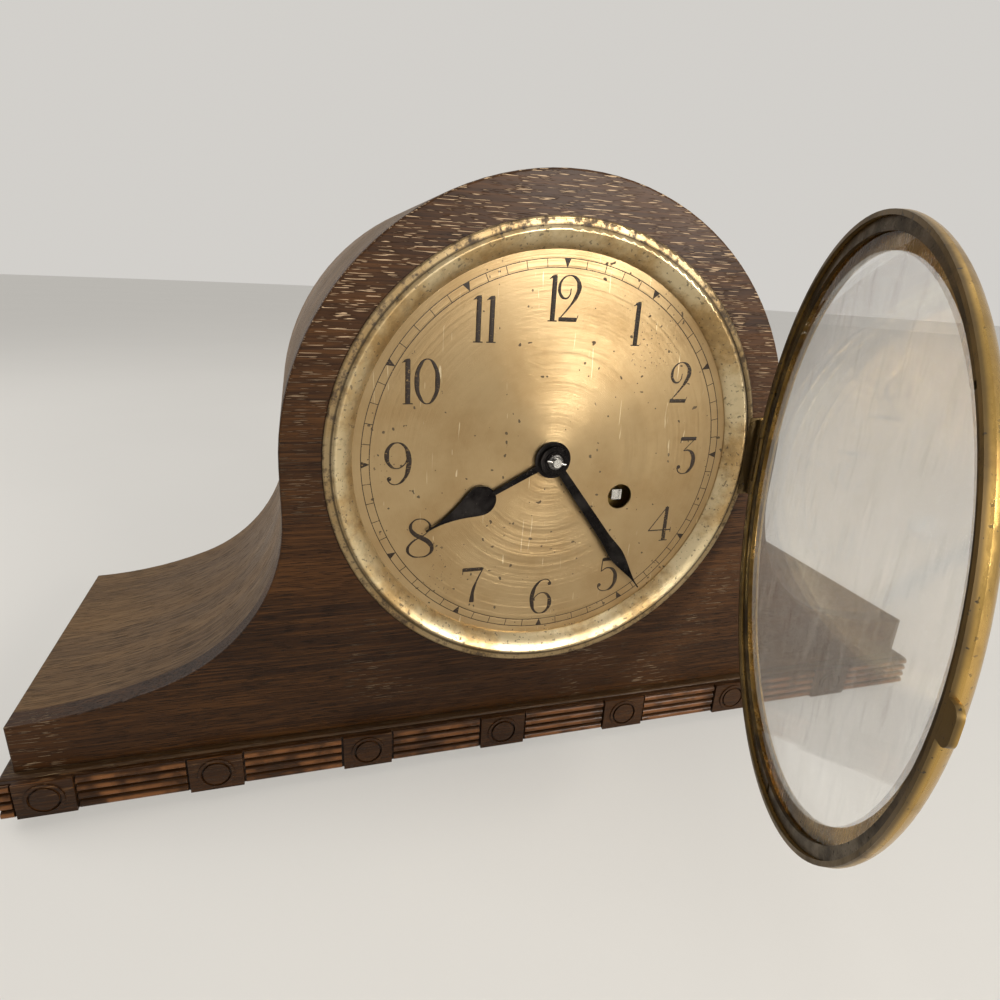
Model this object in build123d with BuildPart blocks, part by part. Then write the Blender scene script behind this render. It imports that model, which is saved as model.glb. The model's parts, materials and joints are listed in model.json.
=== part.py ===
from build123d import *
from math import atan2, cos, degrees, hypot, pi, radians, sin, sqrt
import os

# Napoleon hat mantel clock, in millimetres
# X runs to the viewer's right, Z up, and the dial faces -Y
# The origin is on the table, under the middle of the case

# Case
half_width = 188.3
case_depth = 118.0
dial_rise = 104.2
arch_radius = 96.3
shoulder_drop = 16.5
hollow_radius = 64.0
hollow_turn = 70.0
tail_rise = 18.0
front_thickness = 9.0
front_edge_round = 0.8
skin_thickness = 4.0
end_thickness = 8.0
back_thickness = 6.0
back_recess = 1.0

# Plinth, carved strip and the board under them
base_height = 15.0
base_overhang = 4.0
ledge_depth = 6.0
ledge_round = 1.2
strip_thickness = 3.0
strip_ground = 1.4
strip_height = 14.0
strip_drop = 0.6
reed_count = 4
reed_radius = 1.45
roundel_pitch = 54.3
first_roundel_inset = 13.9
square_width = 18.2
square_gap = 0.8
boss_radius = 4.4
ring_inner_radius = 5.2
ring_outer_radius = 6.2
ring_rise = 0.45
roundel_sink = 0.7
bottom_thickness = 4.0
bottom_inset = 12.0

# Glue blocks inside the case
block_side = 12.0
block_length = 44.0
block_x = 112.0

# Dial and its surround
dial_sink = 3.5
dial_thickness = 0.8
dial_tuck = 0.6
dial_centre_hole = 4.2
winding_hole_radius = 5.0
dial_foot_radius = 1.2
dial_foot_spots = [(-22.0, 30.0), (34.0, 30.0), (-8.0, -43.0)]
dial_foot_end = 1.0
spigot_wall = 0.8
spigot_clearance = 0.2
lip_gap = 0.1
lip_width = 3.4
bead_width = 6.6
bead_rise = 2.0
flange_width = 3.3
flange_thickness = 1.0
flange_margin = 0.2

# Glazed door, hinged beside three o'clock
door_open = 63.3
door_margin = 14.0
door_gap = 0.4
door_depth = 5.5
door_wall = 1.2
bezel_width = 8.7
glass_inset = 3.0
glass_thickness = 1.8
bezel_front = 1.2
retainer_thickness = 1.1
retainer_width = 4.5
retainer_clearance = 0.1
retainer_gap = 1.6
retainer_gap_angles = [20.0, 140.0, 262.0]
hinge_offset = 2.3
hinge_gap = 0.1
knuckle_radius = 1.5
hinge_pin_radius = 0.7
hinge_clearance = 0.05
knuckle_length = 6.0
knuckle_space = 0.2
leaf_height = 31.0
leaf_reach = 4.7
leaf_outer_reach = 2.0
leaf_screw_z = 12.6
leaf_screw_radius = 0.9
leaf_screw_head = 1.4
leaf_screw_head_depth = 0.3
leaf_screw_inset = 1.6
leaf_screw_length = 5.0
door_leaf_thickness = 1.0
tab_angle = 180.0
tab_width = 8.0
tab_reach = 3.6
tab_thickness = 1.3

# Movement plates and fixings
strap_thickness = 1.8
strap_width = 10.0
strap_centres = [-31.0, 45.0]
strap_screw_margin = 3.5
strap_screw_inset = 4.5
wood_screw_radius = 1.4
wood_screw_head = 2.8
wood_screw_head_depth = 1.5
wood_screw_length = 6.5
plate_thickness = 1.6
plate_left = -36.0
plate_right = 50.0
plate_bottom = -47.0
plate_top = 47.0
plate_corner = 5.0
pillar_spots = [(-31.0, 42.0), (45.0, 42.0), (-31.0, -42.0), (45.0, -42.0)]
pillar_radius = 3.2
pillar_neck = 1.9
pillar_thread = 4.2
nut_width = 5.8
nut_thickness = 2.2
strap_bolt_z = 25.0
screw_radius = 1.2
screw_length = 3.3
screw_head_radius = 2.4
screw_head_depth = 1.2
slot_width = 0.6
slot_depth = 0.5
end_shake = 0.2
pivot_clearance = 0.05

# Barrel and winding work
winding_x = 29.6
winding_z = -15.9
drum_radius = 21.0
drum_wall = 1.2
drum_length = 14.5
drum_front_gap = 4.6
great_thickness = 2.0
barrel_cover_thickness = 1.2
core_radius = 5.0
barrel_arbor_radius = 3.0
winding_square = 4.1
winding_tip_gap = 1.7
winding_back_pivot = 2.6
ratchet_square = 3.6
spring_strip = 0.7
spring_inner = 6.6
spring_outer = 19.2
spring_turns = 7
spring_turn_points = 20
spring_side_gap = 0.6
ratchet_teeth = 18
ratchet_radius = 8.5
ratchet_root = 7.0
ratchet_thickness = 1.6
ratchet_gap = 0.4
click_reach = 8.2
click_angle = 60.0
click_tip_gap = 0.15
click_hub = 2.6
click_tail = 4.5
click_tail_half = 1.0
click_spring_width = 0.5
click_spring_gap = 0.8
click_spring_foot = (44.5, -24.0)
click_foot_radius = 3.0
layer_gap = 0.1

# Going train: tooth counts and modules
great_teeth = 84
great_module = 0.60
pinion_leaves = 10
intermediate_teeth = 72
intermediate_module = 0.55
centre_teeth = 84
centre_module = 0.45
fine_leaves = 7
third_teeth = 78
third_module = 0.40
escape_teeth = 42
escape_radius = 11.0
escape_root = 9.4
escape_z = 24.5
wheel_form = [(-1.30, 0.235), (0.0, 0.215), (0.75, 0.150), (1.15, 0.065)]
pinion_form = [(-1.50, 0.170), (0.15, 0.165), (0.50, 0.070)]
wheel_thickness = 1.2
wheel_arms = 5
arm_width = 2.4
rim_width = 2.6
hub_width = 3.2
collet_length = 2.0
centre_arbor_radius = 1.6
centre_pivot = 1.0
arbor_radius = 1.2
arbor_pivot = 0.8
fine_arbor_radius = 0.8
fine_pivot = 0.5
centre_wheel_gap = 1.2
train_gap = 1.5
train_rear_gap = 6.2
escape_wheel_step = 3.8
pinion_margin = 0.5

# Motion work behind the dial
cannon_leaves = 12
minute_teeth = 36
motion_module = 0.50
minute_leaves = 10
hour_teeth = 40
hour_module = 0.48
motion_angle = 150.0
cannon_pipe = 2.4
hour_pipe_wall = 1.0
hour_pipe_front = 0.3
motion_gap = 0.4
motion_thickness = 1.2
minute_stud_radius = 1.0

# Hands
hour_angle = 241.5
minute_angle = 143.1
hand_thickness = 0.6
hour_hand_gap = 0.9
hands_gap = 1.2
hour_hub = 6.9
minute_hub = 5.4
hand_bush_rise = 0.5
hand_bush_width = 1.2
minute_tip_gap = 4.0
hour_shortfall = 15.2
hour_head = 28.6
minute_head = 19.1
minute_neck = 9.5
collet_radius = 2.9
collet_thickness = 0.8
arbor_tip_rise = 2.9
taper_pin_radius = 0.45
taper_pin_length = 7.3
taper_pin_angle = -12.0

# Escapement and pendulum
pallet_rise = 40.0
pallet_arbor_radius = 1.1
pallet_hole_clearance = 1.2
pallet_angle = 47.0
pallet_gap = 0.9
pallet_width = 1.4
pallet_length = 3.0
anchor_arm = 2.6
anchor_thickness = 1.8
crutch_gap = 1.4
crutch_thickness = 1.0
crutch_width = 3.0
crutch_length = 28.0
crutch_hub = 2.4
fork_radius = 0.5
fork_gap = 0.15
cock_thickness = 1.6
cock_half_width = 16.0
cock_foot = 8.0
cock_bottom = 36.5
cock_top = 49.5
cock_rise = 5.6
cock_screw_x = 20.8
cock_screw_z = 43.0
stud_width = 7.0
stud_depth = 6.4
stud_slit = 0.9
strip_width = 4.0
suspension_thickness = 0.15
suspension_top = 5.0
suspension_bottom = 7.0
pendulum_gap = 9.4
rod_radius = 1.0
rod_thread_end = 82.0
rod_head = 3.0
rod_head_height = 3.6
bob_drop = 99.0
bob_radius = 16.0
bob_thickness = 8.0
bob_edge = 1.2
nut_radius = 3.4
nut_height = 3.0
nut_gap = 0.3

# Rear door and its fittings
rear_half_width = 52.0
rear_sill = 45.0
rear_clearance = 0.6
rear_hinge_radius = 1.2
rear_pin_radius = 0.6
rear_leaf_thickness = 0.8
rear_leaf_width = 8.0
rear_leaf_height = 18.0
rear_hinge_rises = [21.0, 73.0]
button_offset = 5.5
button_rise = 51.0
button_length = 24.0
button_width = 8.0
button_thickness = 2.4
button_gap = 0.1
button_hole = 1.5
button_screw_radius = 1.45
button_screw_head = 3.0
button_screw_head_depth = 1.4
button_screw_length = 4.0

# Heights and depths that follow from the sizes above
panel_bottom = bottom_thickness + base_height
dial_z = panel_bottom + dial_rise
shoulder_z = dial_z - shoulder_drop
tail_z = panel_bottom + tail_rise
front_y = -case_depth / 2
back_y = case_depth / 2
panel_back_y = front_y + front_thickness
base_half = half_width + base_overhang
base_front_y = front_y - ledge_depth + strip_thickness
strip_front_y = front_y - ledge_depth
strip_top = panel_bottom - strip_drop
strip_bottom = strip_top - strip_height
dial_face_y = front_y + dial_sink
dial_back_y = dial_face_y + dial_thickness
door_radius = arch_radius - door_margin
hinge_x = door_radius + hinge_offset
leaf_inner_x = hinge_x - leaf_reach
leaf_outer_x = hinge_x + leaf_outer_reach
glass_radius = door_radius - glass_inset
glass_opening = door_radius - bezel_width
retainer_inner = door_radius - retainer_width
flange_radius = door_radius + flange_margin
bead_radius = flange_radius - flange_width
lip_radius = bead_radius - bead_width
dial_radius = lip_radius + dial_tuck
spigot_outer = lip_radius + lip_width
panel_hole = spigot_outer + spigot_clearance
minute_length = lip_radius - minute_tip_gap
hour_length = minute_length - hour_shortfall
strap_back_y = panel_back_y + strap_thickness
plate_front_y = strap_back_y
plate_inner_y = plate_front_y + plate_thickness
drum_front = plate_inner_y + drum_front_gap
drum_rear = drum_front + drum_length
great_rear = drum_rear + great_thickness
centre_wheel_y = plate_inner_y + centre_wheel_gap
train_y = great_rear + train_gap
escape_wheel_y = train_y + escape_wheel_step
rear_inner_y = train_y + wheel_thickness + train_rear_gap
rear_outer_y = rear_inner_y + plate_thickness
crutch_y = rear_outer_y + crutch_gap
pendulum_y = rear_outer_y + pendulum_gap
back_inner_y = back_y - back_recess - back_thickness
back_outer_y = back_y - back_recess
button_x = rear_half_width + button_offset
button_z = rear_sill + button_rise
strap_screw_rises = []
for strap_x in strap_centres:
    strap_screw_rises.append(sqrt((panel_hole + strap_screw_margin) ** 2 - strap_x**2))


def facing(y):
    """Plane square to the dial at depth y; sketches on it read in X and Z."""
    return Plane.XZ.offset(-y)


def on_dial(x, z):
    """Spot given from the dial's centre, in the frame of the whole clock."""
    return (x, dial_z + z)


def disc(radius, rear, front, spot, mode=Mode.ADD):
    """Round bar along Y, from depth rear forward to depth front."""
    with BuildSketch(facing(rear)) as outline:
        with Locations(spot):
            Circle(radius)
    extrude(outline.sketch, amount=rear - front, mode=mode)


def bar(x_low, x_high, z_low, z_high, rear, front, mode=Mode.ADD):
    """Square bar along Y between two corners."""
    middle = ((x_low + x_high) / 2, (z_low + z_high) / 2)
    with BuildSketch(facing(rear)) as outline:
        with Locations(middle):
            Rectangle(x_high - x_low, z_high - z_low)
    extrude(outline.sketch, amount=rear - front, mode=mode)


def slab(points, rear, front, mode=Mode.ADD):
    """Flat plate with straight sides through the points."""
    with BuildSketch(facing(rear)) as outline:
        with BuildLine():
            Polyline(*points, close=True)
        make_face()
    extrude(outline.sketch, amount=rear - front, mode=mode)


def hat(y, inset=0.0, drop=0.0):
    """Front view of the case: arch, hollow shoulders and low tails."""
    turn = radians(hollow_turn)
    hollow_centre = (arch_radius + hollow_radius, shoulder_z)
    hollow_end = (
        hollow_centre[0] - hollow_radius * cos(turn),
        hollow_centre[1] - hollow_radius * sin(turn),
    )
    low = panel_bottom - drop
    with BuildSketch(facing(y)) as outline:
        with BuildLine():
            CenterArc((0, dial_z), arch_radius, 0, 90)
            Line((arch_radius, dial_z), (arch_radius, shoulder_z))
            CenterArc(hollow_centre, hollow_radius, 180, hollow_turn)
            TangentArc(hollow_end, (half_width, tail_z), tangent=(sin(turn), -cos(turn)))
            Polyline((half_width, tail_z), (half_width, low), (0, low))
            mirror(about=Plane.YZ)
        make_face()
        if inset:
            offset(amount=-inset, kind=Kind.INTERSECTION)
    return outline.sketch


def meeting(a, b, reach_a, reach_b, side):
    """Spot at the two reaches from a and b, on the left (1) or right (-1) of a to b."""
    span = hypot(b[0] - a[0], b[1] - a[1])
    along = (reach_a**2 - reach_b**2 + span**2) / (2 * span)
    off = side * sqrt(reach_a**2 - along**2)
    ux = (b[0] - a[0]) / span
    uz = (b[1] - a[1]) / span
    return (a[0] + along * ux - off * uz, a[1] + along * uz + off * ux)


def bearing(a, b):
    """Direction from a to b in degrees."""
    return degrees(atan2(b[1] - a[1], b[0] - a[0]))


def meshed(towards, phase, teeth, mate_teeth):
    """Phase that puts a mate's gap opposite the tooth of a wheel at that phase."""
    return towards + 180 - (phase - towards) * teeth / mate_teeth + 180 / mate_teeth


def toothed(teeth, module, form, phase, spot, rear, front):
    """Toothed blank; form pairs a height in modules with a half thickness in pitches."""
    pitch_radius = teeth * module / 2
    levels = []
    for height, share in form:
        levels.append((pitch_radius + height * module, share * pi * module / pitch_radius))
    points = []
    for tooth in range(teeth):
        middle = radians(phase + tooth * 360 / teeth)
        for radius, half in levels:
            points.append((spot[0] + radius * cos(middle - half), spot[1] + radius * sin(middle - half)))
        for radius, half in reversed(levels):
            points.append((spot[0] + radius * cos(middle + half), spot[1] + radius * sin(middle + half)))
    slab(points, rear, front)


def crossings(outer, inner, spot, rear, front):
    """Openings that leave a wheel its rim, hub and arms."""
    with BuildSketch(facing(rear)) as outline:
        with Locations(spot):
            Circle(outer)
            Circle(inner, mode=Mode.SUBTRACT)
        with Locations(spot):
            with PolarLocations(0, wheel_arms):
                with Locations((outer / 2, 0)):
                    Rectangle(outer, arm_width, mode=Mode.SUBTRACT)
    extrude(outline.sketch, amount=rear - front, mode=Mode.SUBTRACT)


def turned_about(solid, angle):
    """Copy of a door piece swung about the front hinge."""
    return solid.rotate(Axis((hinge_x, hinge_y, 0), (0, 0, 1)), angle)


def finish(solid, name):
    """Label a finished piece and write it out."""
    solid.label = name
    export_step(solid, "parts/" + name + ".step")


os.makedirs("parts", exist_ok=True)

# Arbor spots of the movement
centre_spot = on_dial(0, 0)
winding_spot = on_dial(winding_x, winding_z)
escape_spot = on_dial(0, escape_z)
pallet_spot = on_dial(0, pallet_rise)
great_reach = (great_teeth + pinion_leaves) * great_module / 2
intermediate_reach = (intermediate_teeth + pinion_leaves) * intermediate_module / 2
third_reach = (centre_teeth + fine_leaves) * centre_module / 2
escape_reach = (third_teeth + fine_leaves) * third_module / 2
motion_reach = (cannon_leaves + minute_teeth) * motion_module / 2
intermediate_spot = meeting(centre_spot, winding_spot, intermediate_reach, great_reach, -1)
third_spot = meeting(centre_spot, escape_spot, third_reach, escape_reach, 1)
minute_spot = (
    centre_spot[0] + motion_reach * cos(radians(motion_angle)),
    centre_spot[1] + motion_reach * sin(radians(motion_angle)),
)

# Case: bent skin over the arch, shoulders and tails
with BuildPart() as top_skin:
    extrude(hat(back_y), amount=back_y - panel_back_y)
    extrude(hat(back_y, skin_thickness, skin_thickness), amount=back_y - panel_back_y, mode=Mode.SUBTRACT)
    bar(-half_width, half_width, panel_bottom, tail_z - skin_thickness, back_y, panel_back_y, Mode.SUBTRACT)
finish(top_skin.part, "top_skin")

# Case: short end blocks under the skin's ends
for end_name, end_side in [("left_end", -1), ("right_end", 1)]:
    end_edges = sorted([end_side * half_width, end_side * (half_width - end_thickness)])
    with BuildPart() as end_block:
        extrude(hat(back_y), amount=back_y - panel_back_y)
        bar(end_edges[0], end_edges[1], panel_bottom, tail_z, back_y, panel_back_y, Mode.INTERSECT)
        add(top_skin.part, mode=Mode.SUBTRACT)
    finish(end_block.part, end_name)


def rear_opening(y, clearance):
    """Arched opening of the rear board, drawn in by a clearance."""
    half = rear_half_width - clearance
    with BuildSketch(facing(y)) as outline:
        with Locations((0, (rear_sill + clearance + dial_z) / 2)):
            Rectangle(2 * half, dial_z - rear_sill - clearance)
        with Locations((0, dial_z)):
            Circle(half)
    return outline.sketch


# Case: rear board, set between the skin and the end blocks
with BuildPart() as back_panel:
    extrude(hat(back_outer_y, skin_thickness, skin_thickness), amount=back_thickness)
    inner_half = half_width - end_thickness
    for side in (-1, 1):
        edges = sorted([side * inner_half, side * half_width])
        bar(edges[0], edges[1], panel_bottom, tail_z, back_outer_y, back_inner_y, Mode.SUBTRACT)
    extrude(rear_opening(back_outer_y, 0), amount=back_thickness, mode=Mode.SUBTRACT)
    button_hole_rear = back_outer_y - button_screw_length
    disc(button_screw_radius, back_outer_y, button_hole_rear, (button_x, button_z), Mode.SUBTRACT)
finish(back_panel.part, "back_panel")

# Plinth board, with its long front edge and ends eased
with BuildPart() as base_board:
    with BuildSketch(Plane.XY.offset(bottom_thickness)):
        with Locations((0, (base_front_y + back_y) / 2)):
            Rectangle(2 * base_half, back_y - base_front_y)
    extrude(amount=base_height)
    top_edges = base_board.faces().sort_by(Axis.Z)[-1].edges()
    fillet(top_edges.sort_by(Axis.Y)[:-1], ledge_round)
finish(base_board.part, "base_board")

# Carved strip on the plinth: reeded bars between squares with roundels
reed_pitch = strip_height / reed_count
ground_y = base_front_y - strip_ground
strip_middle = (strip_top + strip_bottom) / 2
with BuildPart() as front_moulding:
    bar(-base_half, base_half, strip_bottom, strip_top, base_front_y, ground_y)
    bar_ends = [-base_half]
    roundel_room = 2 * base_half - first_roundel_inset - square_width / 2 - square_gap
    for index in range(1 + int(roundel_room / roundel_pitch)):
        square_x = first_roundel_inset - base_half + index * roundel_pitch
        square_left = square_x - square_width / 2
        square_right = square_x + square_width / 2
        bar(square_left, square_right, strip_bottom, strip_top, ground_y, strip_front_y)
        disc(ring_outer_radius, strip_front_y, strip_front_y - ring_rise, (square_x, strip_middle))
        disc(ring_inner_radius, strip_front_y + roundel_sink, strip_front_y - ring_rise,
             (square_x, strip_middle), Mode.SUBTRACT)
        disc(boss_radius, strip_front_y + roundel_sink, strip_front_y - ring_rise, (square_x, strip_middle))
        bar_ends += [square_left - square_gap, square_right + square_gap]
    bar_ends.append(base_half)
    for reed_left, reed_right in zip(bar_ends[0::2], bar_ends[1::2]):
        reed_spots = []
        for index in range(reed_count):
            reed_spots.append((ground_y, strip_bottom + (index + 0.5) * reed_pitch))
        with BuildSketch(Plane.YZ.offset(reed_left)):
            with Locations(*reed_spots):
                Circle(reed_radius)
            with Locations((ground_y + reed_radius, strip_middle)):
                Rectangle(2 * reed_radius, 2 * strip_height, mode=Mode.SUBTRACT)
        extrude(amount=reed_right - reed_left)
finish(front_moulding.part, "front_moulding")

# Thin board under the plinth, set in from its edges, on which the clock stands
bottom_middle_y = (base_front_y + back_y) / 2
with BuildPart() as bottom_board:
    with BuildSketch(Plane.XY):
        with Locations((0, bottom_middle_y)):
            Rectangle(2 * (base_half - bottom_inset), back_y - base_front_y - 2 * bottom_inset)
    extrude(amount=bottom_thickness)
finish(bottom_board.part, "bottom_board")

# Three-cornered blocks glued into the corners of the case
with BuildPart() as glue_blocks:
    for corner_y, inward in [(panel_back_y, 1), (back_inner_y, -1)]:
        for side in (-1, 1):
            block_left = side * block_x - block_length / 2
            with BuildSketch(Plane.YZ.offset(block_left)):
                with BuildLine():
                    Polyline(
                        (corner_y, panel_bottom),
                        (corner_y + inward * block_side, panel_bottom),
                        (corner_y, panel_bottom + block_side),
                        close=True,
                    )
                make_face()
            extrude(amount=block_length)
finish(glue_blocks.part, "glue_blocks")

# Brass surround: flat flange, bright bead and a spigot in the panel's hole
dial_axis = Axis((0, 0, dial_z), (0, 1, 0))
hinge_y = front_y - flange_thickness - hinge_gap - knuckle_radius
lip_y = dial_face_y - lip_gap
spigot_inner = spigot_outer - spigot_wall
bead_slope = (bead_radius - lip_radius) * 0.45
bead_crown = front_y - bead_rise
with BuildPart() as dial_ring:
    with BuildSketch(Plane.XY.offset(dial_z)):
        with BuildLine():
            Line((spigot_outer, front_y), (flange_radius, front_y))
            Line((flange_radius, front_y), (flange_radius, front_y - flange_thickness * 0.6))
            ThreePointArc(
                (flange_radius, front_y - flange_thickness * 0.6),
                (flange_radius - 0.4, front_y - flange_thickness * 0.95),
                (flange_radius - 1.0, front_y - flange_thickness),
            )
            Line(
                (flange_radius - 1.0, front_y - flange_thickness),
                (bead_radius + 0.6, front_y - flange_thickness),
            )
            ThreePointArc(
                (bead_radius + 0.6, front_y - flange_thickness),
                (bead_radius + 0.1, front_y - flange_thickness - 0.35),
                (bead_radius - 0.1, bead_crown + 0.4),
            )
            ThreePointArc(
                (bead_radius - 0.1, bead_crown + 0.4),
                (bead_radius - 0.6, bead_crown),
                (bead_radius - 1.3, bead_crown + 0.1),
            )
            ThreePointArc(
                (bead_radius - 1.3, bead_crown + 0.1),
                (lip_radius + bead_slope, (bead_crown + lip_y) / 2 - 1.2),
                (lip_radius, lip_y - 0.3),
            )
            Line((lip_radius, lip_y - 0.3), (lip_radius, lip_y))
            Line((lip_radius, lip_y), (spigot_inner, lip_y))
            Line((spigot_inner, lip_y), (spigot_inner, panel_back_y))
            Line((spigot_inner, panel_back_y), (spigot_outer, panel_back_y))
            Line((spigot_outer, panel_back_y), (spigot_outer, front_y))
        make_face()
    revolve(axis=dial_axis)
    notch_half = leaf_height / 2 + hinge_gap
    bar(leaf_inner_x - hinge_gap, flange_radius + 1, dial_z - notch_half, dial_z + notch_half,
        front_y, front_y - 2 * flange_thickness, Mode.SUBTRACT)
finish(dial_ring.part, "dial_ring")

# Dial with three riveted feet that pass through the front plate
with BuildPart() as dial:
    disc(dial_radius, dial_back_y, dial_face_y, centre_spot)
    disc(dial_centre_hole, dial_back_y, dial_face_y, centre_spot, Mode.SUBTRACT)
    disc(winding_hole_radius, dial_back_y, dial_face_y, winding_spot, Mode.SUBTRACT)
    for spot in dial_foot_spots:
        disc(dial_foot_radius, plate_inner_y + dial_foot_end, dial_back_y, on_dial(*spot))
finish(dial.part, "dial")

# Front hinge: knuckles alternate between the fixed leaf and the door leaf
knuckle_starts = []
for index in range(-2, 3):
    knuckle_starts.append(dial_z + index * knuckle_length - knuckle_length / 2)
knuckle_bottom = knuckle_starts[0]
knuckle_top = knuckle_starts[-1] + knuckle_length
with BuildPart() as hinge_leaf:
    leaf_half = leaf_height / 2
    leaf_front = front_y - flange_thickness
    bar(leaf_inner_x, leaf_outer_x, dial_z - leaf_half, dial_z + leaf_half, front_y, leaf_front)
    for start in knuckle_starts[0::2]:
        with BuildSketch(Plane.XY.offset(start)):
            with Locations((hinge_x, hinge_y)):
                Circle(knuckle_radius)
            with Locations((hinge_x, (hinge_y + leaf_front) / 2)):
                Rectangle(knuckle_radius, leaf_front - hinge_y)
        extrude(amount=knuckle_length)
    with BuildSketch(Plane.XY.offset(knuckle_bottom)):
        with Locations((hinge_x, hinge_y)):
            Circle(hinge_pin_radius)
    extrude(amount=knuckle_top - knuckle_bottom, mode=Mode.SUBTRACT)
    for side in (-1, 1):
        screw_spot = (leaf_inner_x + leaf_screw_inset, dial_z + side * leaf_screw_z)
        disc(leaf_screw_radius, front_y, leaf_front, screw_spot, Mode.SUBTRACT)
finish(hinge_leaf.part, "hinge_leaf")

with BuildPart() as hinge_pin:
    with BuildSketch(Plane.XY.offset(knuckle_bottom)):
        with Locations((hinge_x, hinge_y)):
            Circle(hinge_pin_radius)
    extrude(amount=knuckle_top - knuckle_bottom)
finish(hinge_pin.part, "hinge_pin")

# Two small slotted screws hold the fixed leaf
with BuildPart() as hinge_screws:
    for side in (-1, 1):
        screw_spot = (leaf_inner_x + leaf_screw_inset, dial_z + side * leaf_screw_z)
        head_front = leaf_front - leaf_screw_head_depth
        disc(leaf_screw_head, leaf_front, head_front, screw_spot)
        disc(leaf_screw_radius, leaf_front + leaf_screw_length, leaf_front, screw_spot)
        bar(screw_spot[0] - leaf_screw_head, screw_spot[0] + leaf_screw_head,
            screw_spot[1] - slot_width / 4, screw_spot[1] + slot_width / 4,
            head_front + leaf_screw_head_depth / 2, head_front, Mode.SUBTRACT)
finish(hinge_screws.part, "hinge_screws")

# Case: front panel with the surround's round hole and the screw holes
with BuildPart() as front_panel:
    extrude(hat(panel_back_y), amount=front_thickness)
    outline_edges = front_panel.faces().sort_by(Axis.Y)[0].outer_wire().edges()
    fillet(outline_edges, front_edge_round)
    disc(panel_hole, panel_back_y, front_y, centre_spot, Mode.SUBTRACT)
    for side in (-1, 1):
        screw_spot = (leaf_inner_x + leaf_screw_inset, dial_z + side * leaf_screw_z)
        disc(leaf_screw_radius, leaf_front + leaf_screw_length, front_y, screw_spot, Mode.SUBTRACT)
    for strap_x, screw_rise in zip(strap_centres, strap_screw_rises):
        for side in (-1, 1):
            spot = on_dial(strap_x, side * screw_rise)
            depth = wood_screw_length - strap_thickness
            disc(wood_screw_radius, panel_back_y, panel_back_y - depth, spot, Mode.SUBTRACT)
finish(front_panel.part, "front_panel")

# Door, drawn shut and then swung open
rim_back = front_y - flange_thickness - door_gap
rim_front = rim_back - door_depth
glass_front = rim_front + bezel_front
glass_back = glass_front + glass_thickness
leaf_back = glass_back + retainer_thickness
with BuildPart() as shut_bezel:
    with BuildSketch(Plane.XY.offset(dial_z)):
        with BuildLine():
            Line((door_radius, rim_back), (door_radius, rim_back - 1.8))
            ThreePointArc(
                (door_radius, rim_back - 1.8),
                (door_radius - 1.5, rim_front + 1.3),
                (door_radius - 5.0, rim_front),
            )
            ThreePointArc(
                (door_radius - 5.0, rim_front),
                (glass_opening + 1.4, rim_front + 0.1),
                (glass_opening, rim_front + 0.7),
            )
            Line((glass_opening, rim_front + 0.7), (glass_opening, glass_front))
            Line((glass_opening, glass_front), (glass_radius, glass_front))
            Line((glass_radius, glass_front), (glass_radius, glass_back))
            Line((glass_radius, glass_back), (door_radius - door_wall, glass_back))
            Line((door_radius - door_wall, glass_back), (door_radius - door_wall, rim_back))
            Line((door_radius - door_wall, rim_back), (door_radius, rim_back))
        make_face()
    revolve(axis=dial_axis)
    door_leaf_half = knuckle_length * 1.5 - knuckle_space
    bar(leaf_inner_x - 2, door_radius + 1, dial_z - door_leaf_half, dial_z + door_leaf_half,
        rim_back, leaf_back, Mode.SUBTRACT)
with BuildPart() as door_bezel:
    add(turned_about(shut_bezel.part, door_open))
finish(door_bezel.part, "door_bezel")

with BuildPart() as shut_glass:
    disc(glass_radius, glass_back, glass_front, centre_spot)
with BuildPart() as door_glass:
    add(turned_about(shut_glass.part, door_open))
finish(door_glass.part, "door_glass")

with BuildPart() as shut_retainer:
    disc(door_radius - door_wall - retainer_clearance, leaf_back, glass_back, centre_spot)
    disc(retainer_inner, leaf_back, glass_back, centre_spot, Mode.SUBTRACT)
    for angle in retainer_gap_angles:
        with BuildSketch(facing(leaf_back)):
            with Locations(Location(centre_spot, angle)):
                with Locations((door_radius, 0)):
                    Rectangle(2 * (door_radius - retainer_inner), retainer_gap)
        extrude(amount=retainer_thickness, mode=Mode.SUBTRACT)
with BuildPart() as door_retainer:
    add(turned_about(shut_retainer.part, door_open))
finish(door_retainer.part, "door_retainer")

with BuildPart() as shut_leaf:
    leaf_low = dial_z - door_leaf_half
    for start in knuckle_starts[1::2]:
        with BuildSketch(Plane.XY.offset(start + knuckle_space)):
            with Locations((hinge_x, hinge_y)):
                Circle(knuckle_radius)
            with Locations(((leaf_inner_x + hinge_x) / 2, leaf_back + door_leaf_thickness / 2)):
                Rectangle(hinge_x - leaf_inner_x, door_leaf_thickness)
        extrude(amount=knuckle_length - 2 * knuckle_space)
    with BuildSketch(Plane.XY.offset(leaf_low)):
        with Locations(((leaf_inner_x + door_radius) / 2, leaf_back + door_leaf_thickness / 2)):
            Rectangle(door_radius - leaf_inner_x, door_leaf_thickness)
    extrude(amount=2 * door_leaf_half)
    with BuildSketch(Plane.XY.offset(knuckle_bottom)):
        with Locations((hinge_x, hinge_y)):
            Circle(hinge_pin_radius + hinge_clearance)
    extrude(amount=knuckle_top - knuckle_bottom, mode=Mode.SUBTRACT)
with BuildPart() as door_leaf:
    add(turned_about(shut_leaf.part, door_open))
finish(door_leaf.part, "door_leaf")

# Pull tab on the free side of the door
with BuildPart() as shut_tab:
    with BuildSketch(facing(rim_back)):
        with Locations(Location(centre_spot, tab_angle)):
            with Locations((door_radius, 0)):
                RectangleRounded(2 * tab_reach, tab_width, tab_reach * 0.6)
        with Locations(centre_spot):
            Circle(door_radius, mode=Mode.SUBTRACT)
    extrude(amount=tab_thickness)
with BuildPart() as door_tab:
    add(turned_about(shut_tab.part, door_open))
finish(door_tab.part, "door_tab")

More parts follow.
